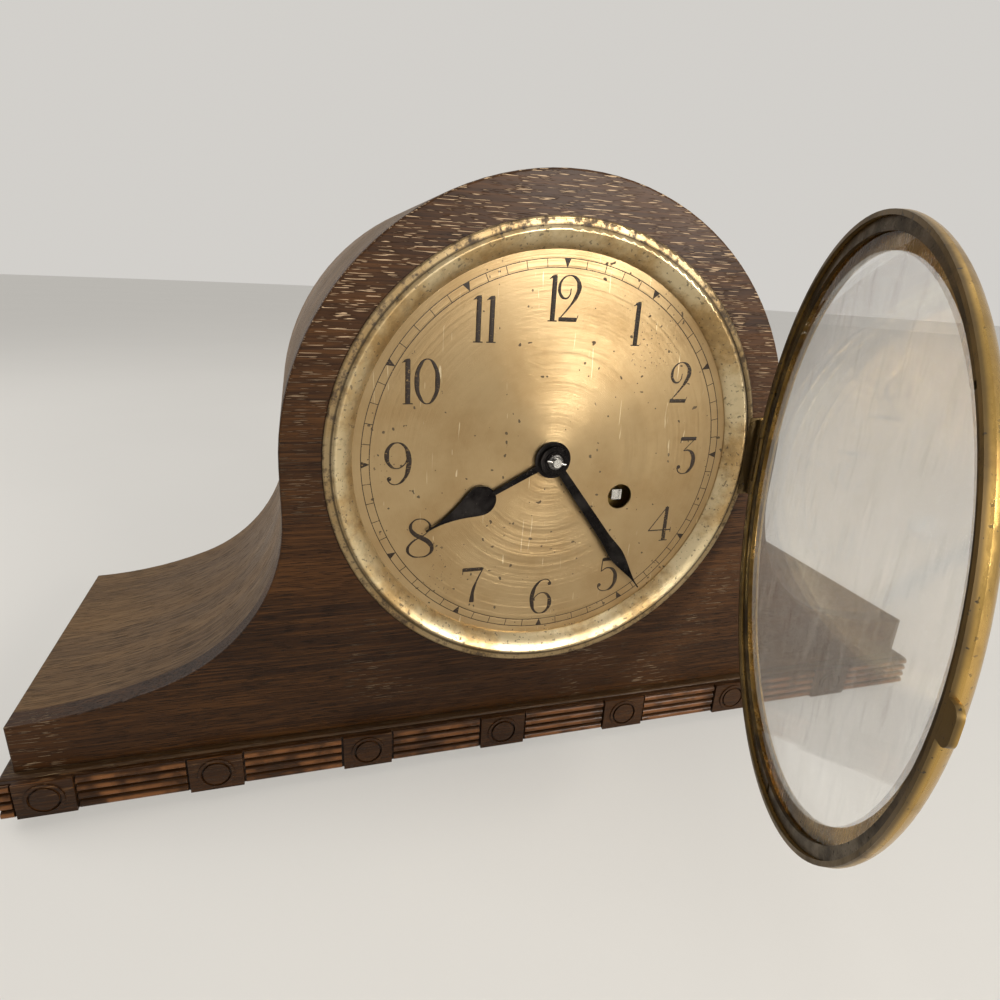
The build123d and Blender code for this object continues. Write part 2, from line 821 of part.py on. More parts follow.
# Steel straps across the back of the panel carry the movement
with BuildPart() as movement_straps:
    for strap_x, screw_rise in zip(strap_centres, strap_screw_rises):
        left = strap_x - strap_width / 2
        strap_half = screw_rise + strap_screw_inset
        bar(left, left + strap_width, dial_z - strap_half, dial_z + strap_half, strap_back_y, panel_back_y)
        for side in (-1, 1):
            end_spot = on_dial(strap_x, side * screw_rise)
            disc(wood_screw_radius, strap_back_y, panel_back_y, end_spot, Mode.SUBTRACT)
            bolt_spot = on_dial(strap_x, side * strap_bolt_z)
            disc(screw_radius, strap_back_y, panel_back_y, bolt_spot, Mode.SUBTRACT)
finish(movement_straps.part, "movement_straps")

with BuildPart() as strap_screws:
    for strap_x, screw_rise in zip(strap_centres, strap_screw_rises):
        for side in (-1, 1):
            spot = on_dial(strap_x, side * screw_rise)
            head_back = strap_back_y + wood_screw_head_depth
            disc(wood_screw_head, head_back, strap_back_y, spot)
            disc(wood_screw_radius, strap_back_y, strap_back_y - wood_screw_length, spot)
            bar(spot[0] - wood_screw_head, spot[0] + wood_screw_head, spot[1] - slot_width / 2,
                spot[1] + slot_width / 2, head_back, head_back - slot_depth, Mode.SUBTRACT)
finish(strap_screws.part, "strap_screws")


def plate_blank(rear, front):
    """Rounded plate of the movement with its pillar holes."""
    middle = on_dial((plate_left + plate_right) / 2, (plate_bottom + plate_top) / 2)
    with BuildSketch(facing(rear)) as outline:
        with Locations(middle):
            RectangleRounded(plate_right - plate_left, plate_top - plate_bottom, plate_corner)
        for spot in pillar_spots:
            with Locations(on_dial(*spot)):
                Circle(pillar_neck, mode=Mode.SUBTRACT)
    extrude(outline.sketch, amount=rear - front)


# Screw spots behind the rear plate: two in the cock, one click pivot and one spring foot
click_spot = (
    winding_spot[0] + (ratchet_radius + click_tip_gap) * cos(radians(click_angle)) + click_reach,
    winding_spot[1] + (ratchet_radius + click_tip_gap) * sin(radians(click_angle)),
)
foot_spot = on_dial(*click_spring_foot)
rear_screw_spots = [click_spot, foot_spot]
for side in (-1, 1):
    rear_screw_spots.append(on_dial(side * cock_screw_x, cock_screw_z))
strap_bolt_spots = []
for strap_x in strap_centres:
    for side in (-1, 1):
        strap_bolt_spots.append(on_dial(strap_x, side * strap_bolt_z))

# Levels of the motion work in front of the plate
motion_first = plate_front_y - motion_gap
motion_second = motion_first - motion_thickness
hour_wheel_back = motion_second - motion_gap - motion_thickness
hour_wheel_front = hour_wheel_back - motion_thickness
motion_front = hour_wheel_front - motion_gap

winding_front_pivot = winding_square / sqrt(2) + pivot_clearance
with BuildPart() as front_plate:
    plate_blank(plate_inner_y, plate_front_y)
    holes = [
        (centre_arbor_radius, centre_spot),
        (winding_front_pivot, winding_spot),
        (arbor_pivot, intermediate_spot),
        (fine_pivot, third_spot),
        (fine_pivot, escape_spot),
        (fine_pivot, pallet_spot),
    ]
    for radius, spot in holes:
        disc(radius + pivot_clearance, plate_inner_y, plate_front_y, spot, Mode.SUBTRACT)
    for spot in strap_bolt_spots:
        disc(screw_radius, plate_inner_y, plate_front_y, spot, Mode.SUBTRACT)
    for spot in dial_foot_spots:
        disc(dial_foot_radius, plate_inner_y, plate_front_y, on_dial(*spot), Mode.SUBTRACT)
    disc(minute_stud_radius, plate_front_y, motion_front, minute_spot)
finish(front_plate.part, "front_plate")

with BuildPart() as back_plate:
    plate_blank(rear_outer_y, rear_inner_y)
    holes = [
        (centre_pivot, centre_spot),
        (winding_back_pivot, winding_spot),
        (arbor_pivot, intermediate_spot),
        (fine_pivot, third_spot),
        (fine_pivot, escape_spot),
        (pallet_arbor_radius + pallet_hole_clearance, pallet_spot),
    ]
    for radius, spot in holes:
        disc(radius + pivot_clearance, rear_outer_y, rear_inner_y, spot, Mode.SUBTRACT)
    for spot in rear_screw_spots:
        disc(screw_radius, rear_outer_y, rear_inner_y, spot, Mode.SUBTRACT)
finish(back_plate.part, "back_plate")

with BuildPart() as plate_pillars:
    for pillar_spot in pillar_spots:
        spot = on_dial(*pillar_spot)
        disc(pillar_radius, rear_inner_y, plate_inner_y, spot)
        disc(pillar_neck, plate_inner_y, plate_front_y, spot)
        disc(pillar_neck, rear_inner_y + pillar_thread, rear_inner_y, spot)
finish(plate_pillars.part, "plate_pillars")

with BuildPart() as pillar_nuts:
    with BuildSketch(facing(rear_outer_y + nut_thickness)):
        for pillar_spot in pillar_spots:
            with Locations(on_dial(*pillar_spot)):
                RegularPolygon(nut_width / 2, 6, major_radius=False)
                Circle(pillar_neck, mode=Mode.SUBTRACT)
    extrude(amount=nut_thickness)
finish(pillar_nuts.part, "pillar_nuts")

# Cheese-head screws: four hold the movement to the straps, four work on the rear plate
with BuildPart() as movement_screws:
    seats = [(plate_inner_y, spot) for spot in strap_bolt_spots]
    for spot in rear_screw_spots:
        seats.append((rear_outer_y + cock_thickness + 2 * layer_gap, spot))
    for seat_y, spot in seats:
        head_back = seat_y + screw_head_depth
        disc(screw_head_radius, head_back, seat_y, spot)
        disc(screw_radius, seat_y, seat_y - screw_length, spot)
        bar(spot[0] - screw_head_radius, spot[0] + screw_head_radius, spot[1] - slot_width / 2,
            spot[1] + slot_width / 2, head_back, head_back - slot_depth, Mode.SUBTRACT)
finish(movement_screws.part, "movement_screws")

# Barrel: drum with the great wheel at its rear, closed by a cover in front
great_phase = bearing(winding_spot, intermediate_spot)
with BuildPart() as barrel:
    disc(drum_radius, drum_rear, drum_front, winding_spot)
    disc(drum_radius - drum_wall, drum_rear, drum_front, winding_spot, Mode.SUBTRACT)
    toothed(great_teeth, great_module, wheel_form, great_phase, winding_spot, great_rear, drum_rear)
    disc(barrel_arbor_radius + pivot_clearance, great_rear, drum_rear, winding_spot, Mode.SUBTRACT)
finish(barrel.part, "barrel")

with BuildPart() as barrel_cover:
    cover_rear = drum_front + barrel_cover_thickness
    disc(drum_radius - drum_wall, cover_rear, drum_front, winding_spot)
    disc(barrel_arbor_radius + pivot_clearance, cover_rear, drum_front, winding_spot, Mode.SUBTRACT)
finish(barrel_cover.part, "barrel_cover")

# Mainspring: one flat strip wound from the core out to the drum wall
with BuildPart() as mainspring:
    inner_line = []
    outer_line = []
    steps = spring_turns * spring_turn_points
    for step in range(steps + 1):
        angle = 2 * pi * step / spring_turn_points
        radius = spring_inner + (spring_outer - spring_inner - spring_strip) * step / steps
        for line, reach in [(inner_line, radius), (outer_line, radius + spring_strip)]:
            line.append((winding_spot[0] + reach * cos(angle), winding_spot[1] + reach * sin(angle)))
    spring_rear = drum_rear - spring_side_gap
    slab(inner_line + outer_line[::-1], spring_rear, cover_rear + spring_side_gap)
finish(mainspring.part, "mainspring")

with BuildPart() as winding_arbor:
    front_shoulder = plate_inner_y + end_shake
    rear_shoulder = rear_inner_y - end_shake
    ratchet_seat = rear_outer_y + ratchet_gap - layer_gap
    disc(barrel_arbor_radius, rear_shoulder, front_shoulder, winding_spot)
    disc(core_radius, drum_rear - spring_side_gap, cover_rear + spring_side_gap, winding_spot)
    disc(winding_front_pivot, front_shoulder, plate_front_y - layer_gap, winding_spot)
    disc(winding_back_pivot, ratchet_seat, rear_shoulder, winding_spot)
    half = winding_square / 2
    bar(winding_spot[0] - half, winding_spot[0] + half, winding_spot[1] - half, winding_spot[1] + half,
        plate_front_y - layer_gap, dial_back_y + winding_tip_gap)
    half = ratchet_square / 2
    ratchet_rear = ratchet_seat + ratchet_thickness
    bar(winding_spot[0] - half, winding_spot[0] + half, winding_spot[1] - half, winding_spot[1] + half,
        ratchet_rear + ratchet_gap, ratchet_seat)
finish(winding_arbor.part, "winding_arbor")

with BuildPart() as ratchet_wheel:
    points = []
    for tooth in range(ratchet_teeth):
        lead = 2 * pi * tooth / ratchet_teeth
        tail = lead + 2 * pi * 0.12 / ratchet_teeth
        for radius, angle in [(ratchet_root, lead), (ratchet_radius, tail)]:
            points.append((winding_spot[0] + radius * cos(angle), winding_spot[1] + radius * sin(angle)))
    slab(points, ratchet_rear, ratchet_seat)
    bar(winding_spot[0] - half, winding_spot[0] + half, winding_spot[1] - half, winding_spot[1] + half,
        ratchet_rear, ratchet_seat, Mode.SUBTRACT)
finish(ratchet_wheel.part, "ratchet_wheel")

# Click: its nose rides just off the ratchet's tips and lifts away
click_front = rear_outer_y + layer_gap
click_rear = click_front + cock_thickness
with BuildPart() as click:
    nose_x = click_spot[0] - click_reach
    tail_x = click_spot[0] + click_tail
    points = [
        (nose_x, click_spot[1]),
        (nose_x + 0.6, click_spot[1] + 1.6),
        (click_spot[0], click_spot[1] + click_hub * 0.9),
        (tail_x, click_spot[1] + click_tail_half),
        (tail_x, click_spot[1] - click_tail_half),
        (click_spot[0], click_spot[1] - click_hub * 0.9),
    ]
    slab(points, click_rear, click_front)
    disc(click_hub, click_rear, click_front, click_spot)
    disc(screw_radius + pivot_clearance, click_rear, click_front, click_spot, Mode.SUBTRACT)
finish(click.part, "click")

with BuildPart() as click_spring:
    disc(click_foot_radius, click_rear, rear_outer_y, foot_spot)
    disc(screw_radius, click_rear, rear_outer_y, foot_spot, Mode.SUBTRACT)
    leaf_x = tail_x - click_spring_width - 0.2
    leaf_top = click_spot[1] - click_tail_half - click_spring_gap
    points = [
        (foot_spot[0] + 1.6, foot_spot[1] + 2.2),
        (foot_spot[0] + 1.6 + click_spring_width, foot_spot[1] + 2.2),
        (leaf_x + click_spring_width, leaf_top),
        (leaf_x, leaf_top),
    ]
    slab(points, click_rear, click_front)
finish(click_spring.part, "click_spring")

# Going train, from the barrel to the escape wheel
intermediate_pinion_phase = meshed(great_phase, great_phase, great_teeth, pinion_leaves)
to_centre = bearing(intermediate_spot, centre_spot)
intermediate_phase = to_centre
centre_pinion_phase = meshed(to_centre, intermediate_phase, intermediate_teeth, pinion_leaves)
to_third = bearing(centre_spot, third_spot)
centre_phase = to_third
third_pinion_phase = meshed(to_third, centre_phase, centre_teeth, fine_leaves)
to_escape = bearing(third_spot, escape_spot)
third_phase = to_escape
escape_pinion_phase = meshed(to_escape, third_phase, third_teeth, fine_leaves)


def train_wheel(teeth, module, phase, spot, front, bore):
    """Crossed-out brass wheel with a collet behind it."""
    rear = front + wheel_thickness
    root = teeth * module / 2 - 1.3 * module
    toothed(teeth, module, wheel_form, phase, spot, rear, front)
    crossings(root - rim_width, bore + hub_width, spot, rear, front)
    disc(bore + hub_width / 2, rear + collet_length, rear, spot)
    disc(bore, rear + collet_length, front, spot, Mode.SUBTRACT)


with BuildPart() as intermediate_wheel:
    train_wheel(intermediate_teeth, intermediate_module, intermediate_phase, intermediate_spot,
                train_y, arbor_radius)
finish(intermediate_wheel.part, "intermediate_wheel")

with BuildPart() as intermediate_arbor:
    disc(arbor_radius, rear_shoulder, front_shoulder, intermediate_spot)
    disc(arbor_pivot, rear_outer_y, rear_shoulder, intermediate_spot)
    disc(arbor_pivot, front_shoulder, plate_front_y, intermediate_spot)
    toothed(pinion_leaves, great_module, pinion_form, intermediate_pinion_phase, intermediate_spot,
            great_rear + pinion_margin, drum_rear - pinion_margin)
finish(intermediate_arbor.part, "intermediate_arbor")

with BuildPart() as centre_wheel:
    train_wheel(centre_teeth, centre_module, centre_phase, centre_spot, centre_wheel_y, centre_arbor_radius)
finish(centre_wheel.part, "centre_wheel")

hour_hand_back = dial_face_y - hour_hand_gap
hour_hand_front = hour_hand_back - hand_thickness
minute_hand_back = hour_hand_front - hands_gap
minute_hand_front = minute_hand_back - hand_thickness
collet_back = minute_hand_front - hand_bush_rise - pivot_clearance
collet_front = collet_back - collet_thickness
arbor_tip = minute_hand_front - arbor_tip_rise
with BuildPart() as centre_arbor:
    disc(centre_arbor_radius, rear_shoulder, arbor_tip, centre_spot)
    disc(centre_pivot, rear_outer_y, rear_shoulder, centre_spot)
    toothed(pinion_leaves, intermediate_module, pinion_form, centre_pinion_phase, centre_spot,
            train_y + wheel_thickness + pinion_margin, train_y - pinion_margin)
    pin_y = collet_front - taper_pin_radius
    with BuildSketch(Plane.XY.offset(-taper_pin_length)) as pin_section:
        Circle(taper_pin_radius)
    pin_tool = extrude(pin_section.sketch, amount=2 * taper_pin_length, mode=Mode.PRIVATE)
    pin_tool = pin_tool.rotate(Axis.Y, 90 - taper_pin_angle)
    add(pin_tool.translate((centre_spot[0], pin_y, centre_spot[1])), mode=Mode.SUBTRACT)
finish(centre_arbor.part, "centre_arbor")

with BuildPart() as third_wheel:
    train_wheel(third_teeth, third_module, third_phase, third_spot, train_y, fine_arbor_radius)
finish(third_wheel.part, "third_wheel")

with BuildPart() as third_arbor:
    disc(fine_arbor_radius, rear_shoulder, front_shoulder, third_spot)
    disc(fine_pivot, rear_outer_y, rear_shoulder, third_spot)
    disc(fine_pivot, front_shoulder, plate_front_y, third_spot)
    toothed(fine_leaves, centre_module, pinion_form, third_pinion_phase, third_spot,
            centre_wheel_y + wheel_thickness + pinion_margin, centre_wheel_y - pinion_margin)
finish(third_arbor.part, "third_arbor")

with BuildPart() as escape_wheel:
    points = []
    for tooth in range(escape_teeth):
        lead = 2 * pi * tooth / escape_teeth
        tooth_line = [(escape_root, 0.0), (escape_radius, 0.30), (escape_radius, 0.36), (escape_root, 0.62)]
        for radius, share in tooth_line:
            angle = lead + 2 * pi * share / escape_teeth
            points.append((escape_spot[0] + radius * cos(angle), escape_spot[1] + radius * sin(angle)))
    escape_rear = escape_wheel_y + wheel_thickness
    slab(points, escape_rear, escape_wheel_y)
    crossings(escape_root - rim_width / 2, fine_arbor_radius + hub_width / 2, escape_spot,
              escape_rear, escape_wheel_y)
    disc(fine_arbor_radius, escape_rear, escape_wheel_y, escape_spot, Mode.SUBTRACT)
finish(escape_wheel.part, "escape_wheel")

with BuildPart() as escape_arbor:
    disc(fine_arbor_radius, rear_shoulder, front_shoulder, escape_spot)
    disc(fine_pivot, rear_outer_y, rear_shoulder, escape_spot)
    disc(fine_pivot, front_shoulder, plate_front_y, escape_spot)
    toothed(fine_leaves, third_module, pinion_form, escape_pinion_phase, escape_spot,
            train_y + wheel_thickness + pinion_margin, train_y - pinion_margin)
finish(escape_arbor.part, "escape_arbor")

# Motion work: cannon pinion, minute wheel and hour wheel
cannon_phase = 0.0
minute_phase = meshed(motion_angle, cannon_phase, cannon_leaves, minute_teeth)
hour_phase = meshed(motion_angle + 180, minute_phase, minute_leaves, hour_teeth)
cannon_pipe_front = minute_hand_front - hand_bush_rise
with BuildPart() as cannon_pinion:
    toothed(cannon_leaves, motion_module, pinion_form, cannon_phase, centre_spot,
            motion_first, motion_second - motion_gap)
    disc(cannon_pipe, motion_first, cannon_pipe_front, centre_spot)
    disc(centre_arbor_radius, motion_first, cannon_pipe_front, centre_spot, Mode.SUBTRACT)
finish(cannon_pinion.part, "cannon_pinion")

with BuildPart() as minute_wheel:
    toothed(minute_teeth, motion_module, wheel_form, minute_phase, minute_spot, motion_first, motion_second)
    toothed(minute_leaves, hour_module, pinion_form, minute_phase, minute_spot,
            motion_second, motion_front)
    disc(minute_stud_radius + pivot_clearance, motion_first, motion_front, minute_spot, Mode.SUBTRACT)
finish(minute_wheel.part, "minute_wheel")

hour_bore = cannon_pipe + pivot_clearance
hour_pipe = hour_bore + hour_pipe_wall
with BuildPart() as hour_wheel:
    toothed(hour_teeth, hour_module, wheel_form, hour_phase, centre_spot, hour_wheel_back, hour_wheel_front)
    disc(hour_pipe, hour_wheel_back, hour_hand_front - hour_pipe_front, centre_spot)
    disc(hour_bore, hour_wheel_back, hour_hand_front - hour_pipe_front, centre_spot, Mode.SUBTRACT)
finish(hour_wheel.part, "hour_wheel")


def hand_point(angle, reach, offset_side):
    """Point of a hand, from its length along and its offset to one side."""
    turn = radians(90 - angle)
    x = reach * cos(turn) - offset_side * sin(turn)
    z = reach * sin(turn) + offset_side * cos(turn)
    return (centre_spot[0] + x, centre_spot[1] + z)


# Hour hand: a thin stem, two round lobes and a drawn-out point
hour_root = hour_length - hour_head
with BuildPart() as hour_hand:
    with BuildSketch(facing(hour_hand_back)):
        with BuildLine():
            for side in (-1, 1):
                Polyline(
                    hand_point(hour_angle, hour_hub * 0.8, 0),
                    hand_point(hour_angle, hour_hub * 0.8, side * 1.25),
                    hand_point(hour_angle, hour_root, side * 0.85),
                )
                Spline(
                    hand_point(hour_angle, hour_root, side * 0.85),
                    hand_point(hour_angle, hour_root + 1.6, side * 3.9),
                    hand_point(hour_angle, hour_root + 5.2, side * 5.6),
                    hand_point(hour_angle, hour_root + 9.2, side * 4.8),
                    hand_point(hour_angle, hour_root + 13.6, side * 3.0),
                    hand_point(hour_angle, hour_root + 18.6, side * 1.4),
                    hand_point(hour_angle, hour_length, side * 0.35),
                )
            Line(hand_point(hour_angle, hour_length, -0.35), hand_point(hour_angle, hour_length, 0.35))
        make_face()
        with Locations(centre_spot):
            Circle(hour_hub)
    extrude(amount=hand_thickness)
    disc(hour_pipe + hand_bush_width, hour_hand_front, hour_hand_front - hand_bush_rise, centre_spot)
    disc(hour_pipe, hour_hand_back, hour_hand_front - hand_bush_rise, centre_spot, Mode.SUBTRACT)
finish(hour_hand.part, "hour_hand")

# Minute hand: a blade that widens to a leaf and ends in a fine point
blade = minute_length - minute_head
with BuildPart() as minute_hand:
    with BuildSketch(facing(minute_hand_back)):
        with BuildLine():
            for side in (-1, 1):
                Polyline(
                    hand_point(minute_angle, minute_hub * 0.8, 0),
                    hand_point(minute_angle, minute_hub * 0.8, side * 1.55),
                    hand_point(minute_angle, blade - minute_neck, side * 2.1),
                )
                Spline(
                    hand_point(minute_angle, blade - minute_neck, side * 2.1),
                    hand_point(minute_angle, blade - 4.0, side * 2.65),
                    hand_point(minute_angle, blade, side * 2.85),
                    hand_point(minute_angle, blade + 4.0, side * 2.4),
                    hand_point(minute_angle, blade + 9.5, side * 1.3),
                    hand_point(minute_angle, minute_length, side * 0.3),
                )
            Line(hand_point(minute_angle, minute_length, -0.3), hand_point(minute_angle, minute_length, 0.3))
        make_face()
        with Locations(centre_spot):
            Circle(minute_hub)
    extrude(amount=hand_thickness)
    disc(cannon_pipe + hand_bush_width, minute_hand_front, minute_hand_front - hand_bush_rise, centre_spot)
    disc(cannon_pipe, minute_hand_back, minute_hand_front - hand_bush_rise, centre_spot, Mode.SUBTRACT)
finish(minute_hand.part, "minute_hand")

with BuildPart() as hand_collet:
    disc(collet_radius, collet_back, collet_front, centre_spot)
    fillet(hand_collet.faces().sort_by(Axis.Y)[0].edges(), collet_thickness * 0.6)
    disc(centre_arbor_radius, collet_back, collet_front, centre_spot, Mode.SUBTRACT)
finish(hand_collet.part, "hand_collet")

with BuildPart() as hand_pin:
    with BuildSketch(Plane.XY.offset(-taper_pin_length / 2)) as pin_section:
        Circle(taper_pin_radius)
    pin_bar = extrude(pin_section.sketch, amount=taper_pin_length, mode=Mode.PRIVATE)
    pin_bar = pin_bar.rotate(Axis.Y, 90 - taper_pin_angle)
    add(pin_bar.translate((centre_spot[0], pin_y, centre_spot[1])))
finish(hand_pin.part, "hand_pin")

# Anchor on its arbor; its nibs stand just off the escape wheel's teeth
anchor_front = escape_wheel_y - (anchor_thickness - wheel_thickness) / 2
anchor_rear = anchor_front + anchor_thickness
cock_bridge_rear = rear_outer_y + cock_rise
cock_bridge_front = cock_bridge_rear - cock_thickness
with BuildPart() as anchor:
    nib_middle = escape_radius + pallet_gap + pallet_length / 2
    for side in (-1, 1):
        turn = radians(90 - side * pallet_angle)
        nib_x = escape_spot[0] + nib_middle * cos(turn)
        nib_z = escape_spot[1] + nib_middle * sin(turn)
        with BuildSketch(facing(anchor_rear)):
            with Locations(Location((nib_x, nib_z), 90 - side * pallet_angle)):
                Rectangle(pallet_length, pallet_width)
            with BuildLine():
                Polyline(
                    (pallet_spot[0], pallet_spot[1] + anchor_arm),
                    (nib_x + side * pallet_width, nib_z + pallet_width),
                    (nib_x - side * pallet_width * 0.4, nib_z - pallet_width * 0.2),
                    (pallet_spot[0], pallet_spot[1] - anchor_arm * 0.6),
                    close=True,
                )
            make_face()
        extrude(amount=anchor_thickness)
    disc(anchor_arm, anchor_rear, anchor_front, pallet_spot)
    disc(pallet_arbor_radius, cock_bridge_front - end_shake, front_shoulder, pallet_spot)
    disc(fine_pivot, front_shoulder, plate_front_y, pallet_spot)
    disc(fine_pivot, cock_bridge_rear, cock_bridge_front - end_shake, pallet_spot)
finish(anchor.part, "anchor")

with BuildPart() as crutch:
    crutch_front = crutch_y - crutch_thickness
    crutch_end = pallet_spot[1] - crutch_length
    disc(crutch_hub, crutch_y, crutch_front, pallet_spot)
    half = crutch_width / 2
    bar(-half, half, crutch_end - half, pallet_spot[1], crutch_y, crutch_front)
    prong_x = rod_radius + fork_gap + fork_radius
    for side in (-1, 1):
        disc(fork_radius, pendulum_y + 2 * rod_radius, crutch_front, (side * prong_x, crutch_end))
    bar(-prong_x, prong_x, crutch_end - fork_radius, crutch_end + fork_radius, crutch_y, crutch_front)
    disc(pallet_arbor_radius, crutch_y, crutch_front, pallet_spot, Mode.SUBTRACT)
finish(crutch.part, "crutch")

# Back cock: a bridge over the pallet arbor with the pendulum's stud
with BuildPart() as back_cock:
    low = dial_z + cock_bottom
    high = dial_z + cock_top
    bar(-cock_half_width, cock_half_width, low, high, cock_bridge_rear, cock_bridge_front)
    foot_reach = cock_half_width + cock_foot
    for side in (-1, 1):
        riser = sorted([side * cock_half_width, side * (cock_half_width - cock_thickness)])
        bar(riser[0], riser[1], low, high, cock_bridge_front, rear_outer_y)
        foot = sorted([side * (cock_half_width - cock_thickness), side * foot_reach])
        bar(foot[0], foot[1], low, high, rear_outer_y + cock_thickness, rear_outer_y)
        disc(screw_radius, rear_outer_y + cock_thickness, rear_outer_y,
             on_dial(side * cock_screw_x, cock_screw_z), Mode.SUBTRACT)
    stud_low = pallet_spot[1] + 1.4
    stud_rear = cock_bridge_rear + stud_depth
    bar(-stud_width / 2, stud_width / 2, stud_low, high, stud_rear, cock_bridge_rear)
    bar(-stud_slit / 2, stud_slit / 2, stud_low, pallet_spot[1] + suspension_top + 0.4,
        stud_rear, cock_bridge_rear, Mode.SUBTRACT)
    disc(fine_pivot + pivot_clearance, cock_bridge_rear, cock_bridge_front, pallet_spot, Mode.SUBTRACT)
finish(back_cock.part, "back_cock")

# Pendulum: spring strip, rod with its head, bob and rating nut
strip_low = pallet_spot[1] - suspension_bottom
with BuildPart() as suspension_spring:
    half = suspension_thickness / 2
    bar(-half, half, strip_low, pallet_spot[1] + suspension_top,
        pendulum_y + strip_width / 2, pendulum_y - strip_width / 2)
finish(suspension_spring.part, "suspension_spring")

bob_z = pallet_spot[1] - bob_drop
thread_end_z = dial_z - rod_thread_end
with BuildPart() as pendulum_rod:
    with BuildSketch(Plane.XY.offset(thread_end_z)):
        with Locations((0, pendulum_y)):
            Circle(rod_radius)
    extrude(amount=strip_low - thread_end_z)
    bar(-rod_head / 2, rod_head / 2, strip_low - rod_head_height, strip_low + 1,
        pendulum_y + strip_width / 2, pendulum_y - strip_width / 2)
    bar(-suspension_thickness / 2, suspension_thickness / 2, strip_low, strip_low + 1,
        pendulum_y + strip_width / 2, pendulum_y - strip_width / 2, Mode.SUBTRACT)
finish(pendulum_rod.part, "pendulum_rod")

with BuildPart() as pendulum_bob:
    with BuildSketch(Plane.XY.offset(bob_z)):
        with BuildLine():
            Line((0, pendulum_y - bob_thickness / 2), (0, pendulum_y + bob_thickness / 2))
            ThreePointArc(
                (0, pendulum_y + bob_thickness / 2),
                (bob_radius * 0.6, pendulum_y + bob_thickness * 0.38),
                (bob_radius, pendulum_y + bob_edge / 2),
            )
            Line((bob_radius, pendulum_y + bob_edge / 2), (bob_radius, pendulum_y - bob_edge / 2))
            ThreePointArc(
                (bob_radius, pendulum_y - bob_edge / 2),
                (bob_radius * 0.6, pendulum_y - bob_thickness * 0.38),
                (0, pendulum_y - bob_thickness / 2),
            )
        make_face()
    revolve(axis=Axis((0, 0, bob_z), (0, 1, 0)))
    with BuildSketch(Plane.XY.offset(bob_z - bob_radius - 1)):
        with Locations((0, pendulum_y)):
            Circle(rod_radius)
    extrude(amount=2 * bob_radius + 2, mode=Mode.SUBTRACT)
finish(pendulum_bob.part, "pendulum_bob")

with BuildPart() as rating_nut:
    with BuildSketch(Plane.XY.offset(bob_z - bob_radius - nut_gap - nut_height)):
        with Locations((0, pendulum_y)):
            Circle(nut_radius)
            Circle(rod_radius + pivot_clearance, mode=Mode.SUBTRACT)
    extrude(amount=nut_height)
finish(rating_nut.part, "rating_nut")

# Rear door, its two hinges and the turn button beside it
rear_hinge_x = -rear_half_width
rear_hinge_y = back_outer_y + rear_hinge_radius
with BuildPart() as back_door:
    extrude(rear_opening(back_outer_y, rear_clearance), amount=back_thickness)
finish(back_door.part, "back_door")


def rear_knuckles(starts, length):
    """Hinge knuckles along Z at the rear hinge line."""
    for start in starts:
        with BuildSketch(Plane.XY.offset(start)) as outline:
            with Locations((rear_hinge_x, rear_hinge_y)):
                Circle(rear_hinge_radius)
        extrude(outline.sketch, amount=length)


third_height = rear_leaf_height / 3
rear_leaf_rear = back_outer_y + rear_leaf_thickness
with BuildPart() as back_door_hinges:
    for rise in rear_hinge_rises:
        low_z = rear_sill + rise
        leaf_right = rear_hinge_x - rear_hinge_radius - hinge_gap
        bar(leaf_right - rear_leaf_width, leaf_right, low_z, low_z + rear_leaf_height,
            rear_leaf_rear, back_outer_y)
        for start in (low_z, low_z + 2 * third_height):
            bar(leaf_right, rear_hinge_x, start, start + third_height, rear_leaf_rear, back_outer_y)
        rear_knuckles([low_z, low_z + 2 * third_height], third_height)
        with BuildSketch(Plane.XY.offset(low_z)):
            with Locations((rear_hinge_x, rear_hinge_y)):
                Circle(rear_pin_radius)
        extrude(amount=rear_leaf_height)
finish(back_door_hinges.part, "back_door_hinges")

with BuildPart() as back_door_leaves:
    for rise in rear_hinge_rises:
        low_z = rear_sill + rise
        start = low_z + third_height + knuckle_space
        length = third_height - 2 * knuckle_space
        leaf_left = rear_hinge_x + rear_clearance + rear_hinge_radius * 0.9
        bar(leaf_left, leaf_left + rear_leaf_width, low_z, low_z + rear_leaf_height,
            rear_leaf_rear, back_outer_y)
        bar(rear_hinge_x, leaf_left, start, start + length, rear_leaf_rear, back_outer_y + hinge_gap)
        rear_knuckles([start], length)
        with BuildSketch(Plane.XY.offset(low_z)):
            with Locations((rear_hinge_x, rear_hinge_y)):
                Circle(rear_pin_radius + hinge_clearance)
        extrude(amount=rear_leaf_height, mode=Mode.SUBTRACT)
finish(back_door_leaves.part, "back_door_leaves")

button_front = back_outer_y + button_gap
button_rear = button_front + button_thickness
with BuildPart() as turn_button:
    with BuildSketch(facing(button_rear)):
        with Locations(Location((button_x, button_z), 90)):
            SlotOverall(button_length, button_width)
        with Locations((button_x, button_z)):
            Circle(button_hole, mode=Mode.SUBTRACT)
    extrude(amount=button_thickness)
finish(turn_button.part, "turn_button")

with BuildPart() as button_screw:
    head_front = button_rear + button_gap
    head_rear = head_front + button_screw_head_depth
    spot = (button_x, button_z)
    disc(button_screw_head, head_rear, head_front, spot)
    disc(button_screw_radius, head_front, back_outer_y - button_screw_length, spot)
    bar(button_x - button_screw_head, button_x + button_screw_head, button_z - slot_width / 2,
        button_z + slot_width / 2, head_rear, head_rear - slot_depth, Mode.SUBTRACT)
finish(button_screw.part, "button_screw")
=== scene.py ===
import math

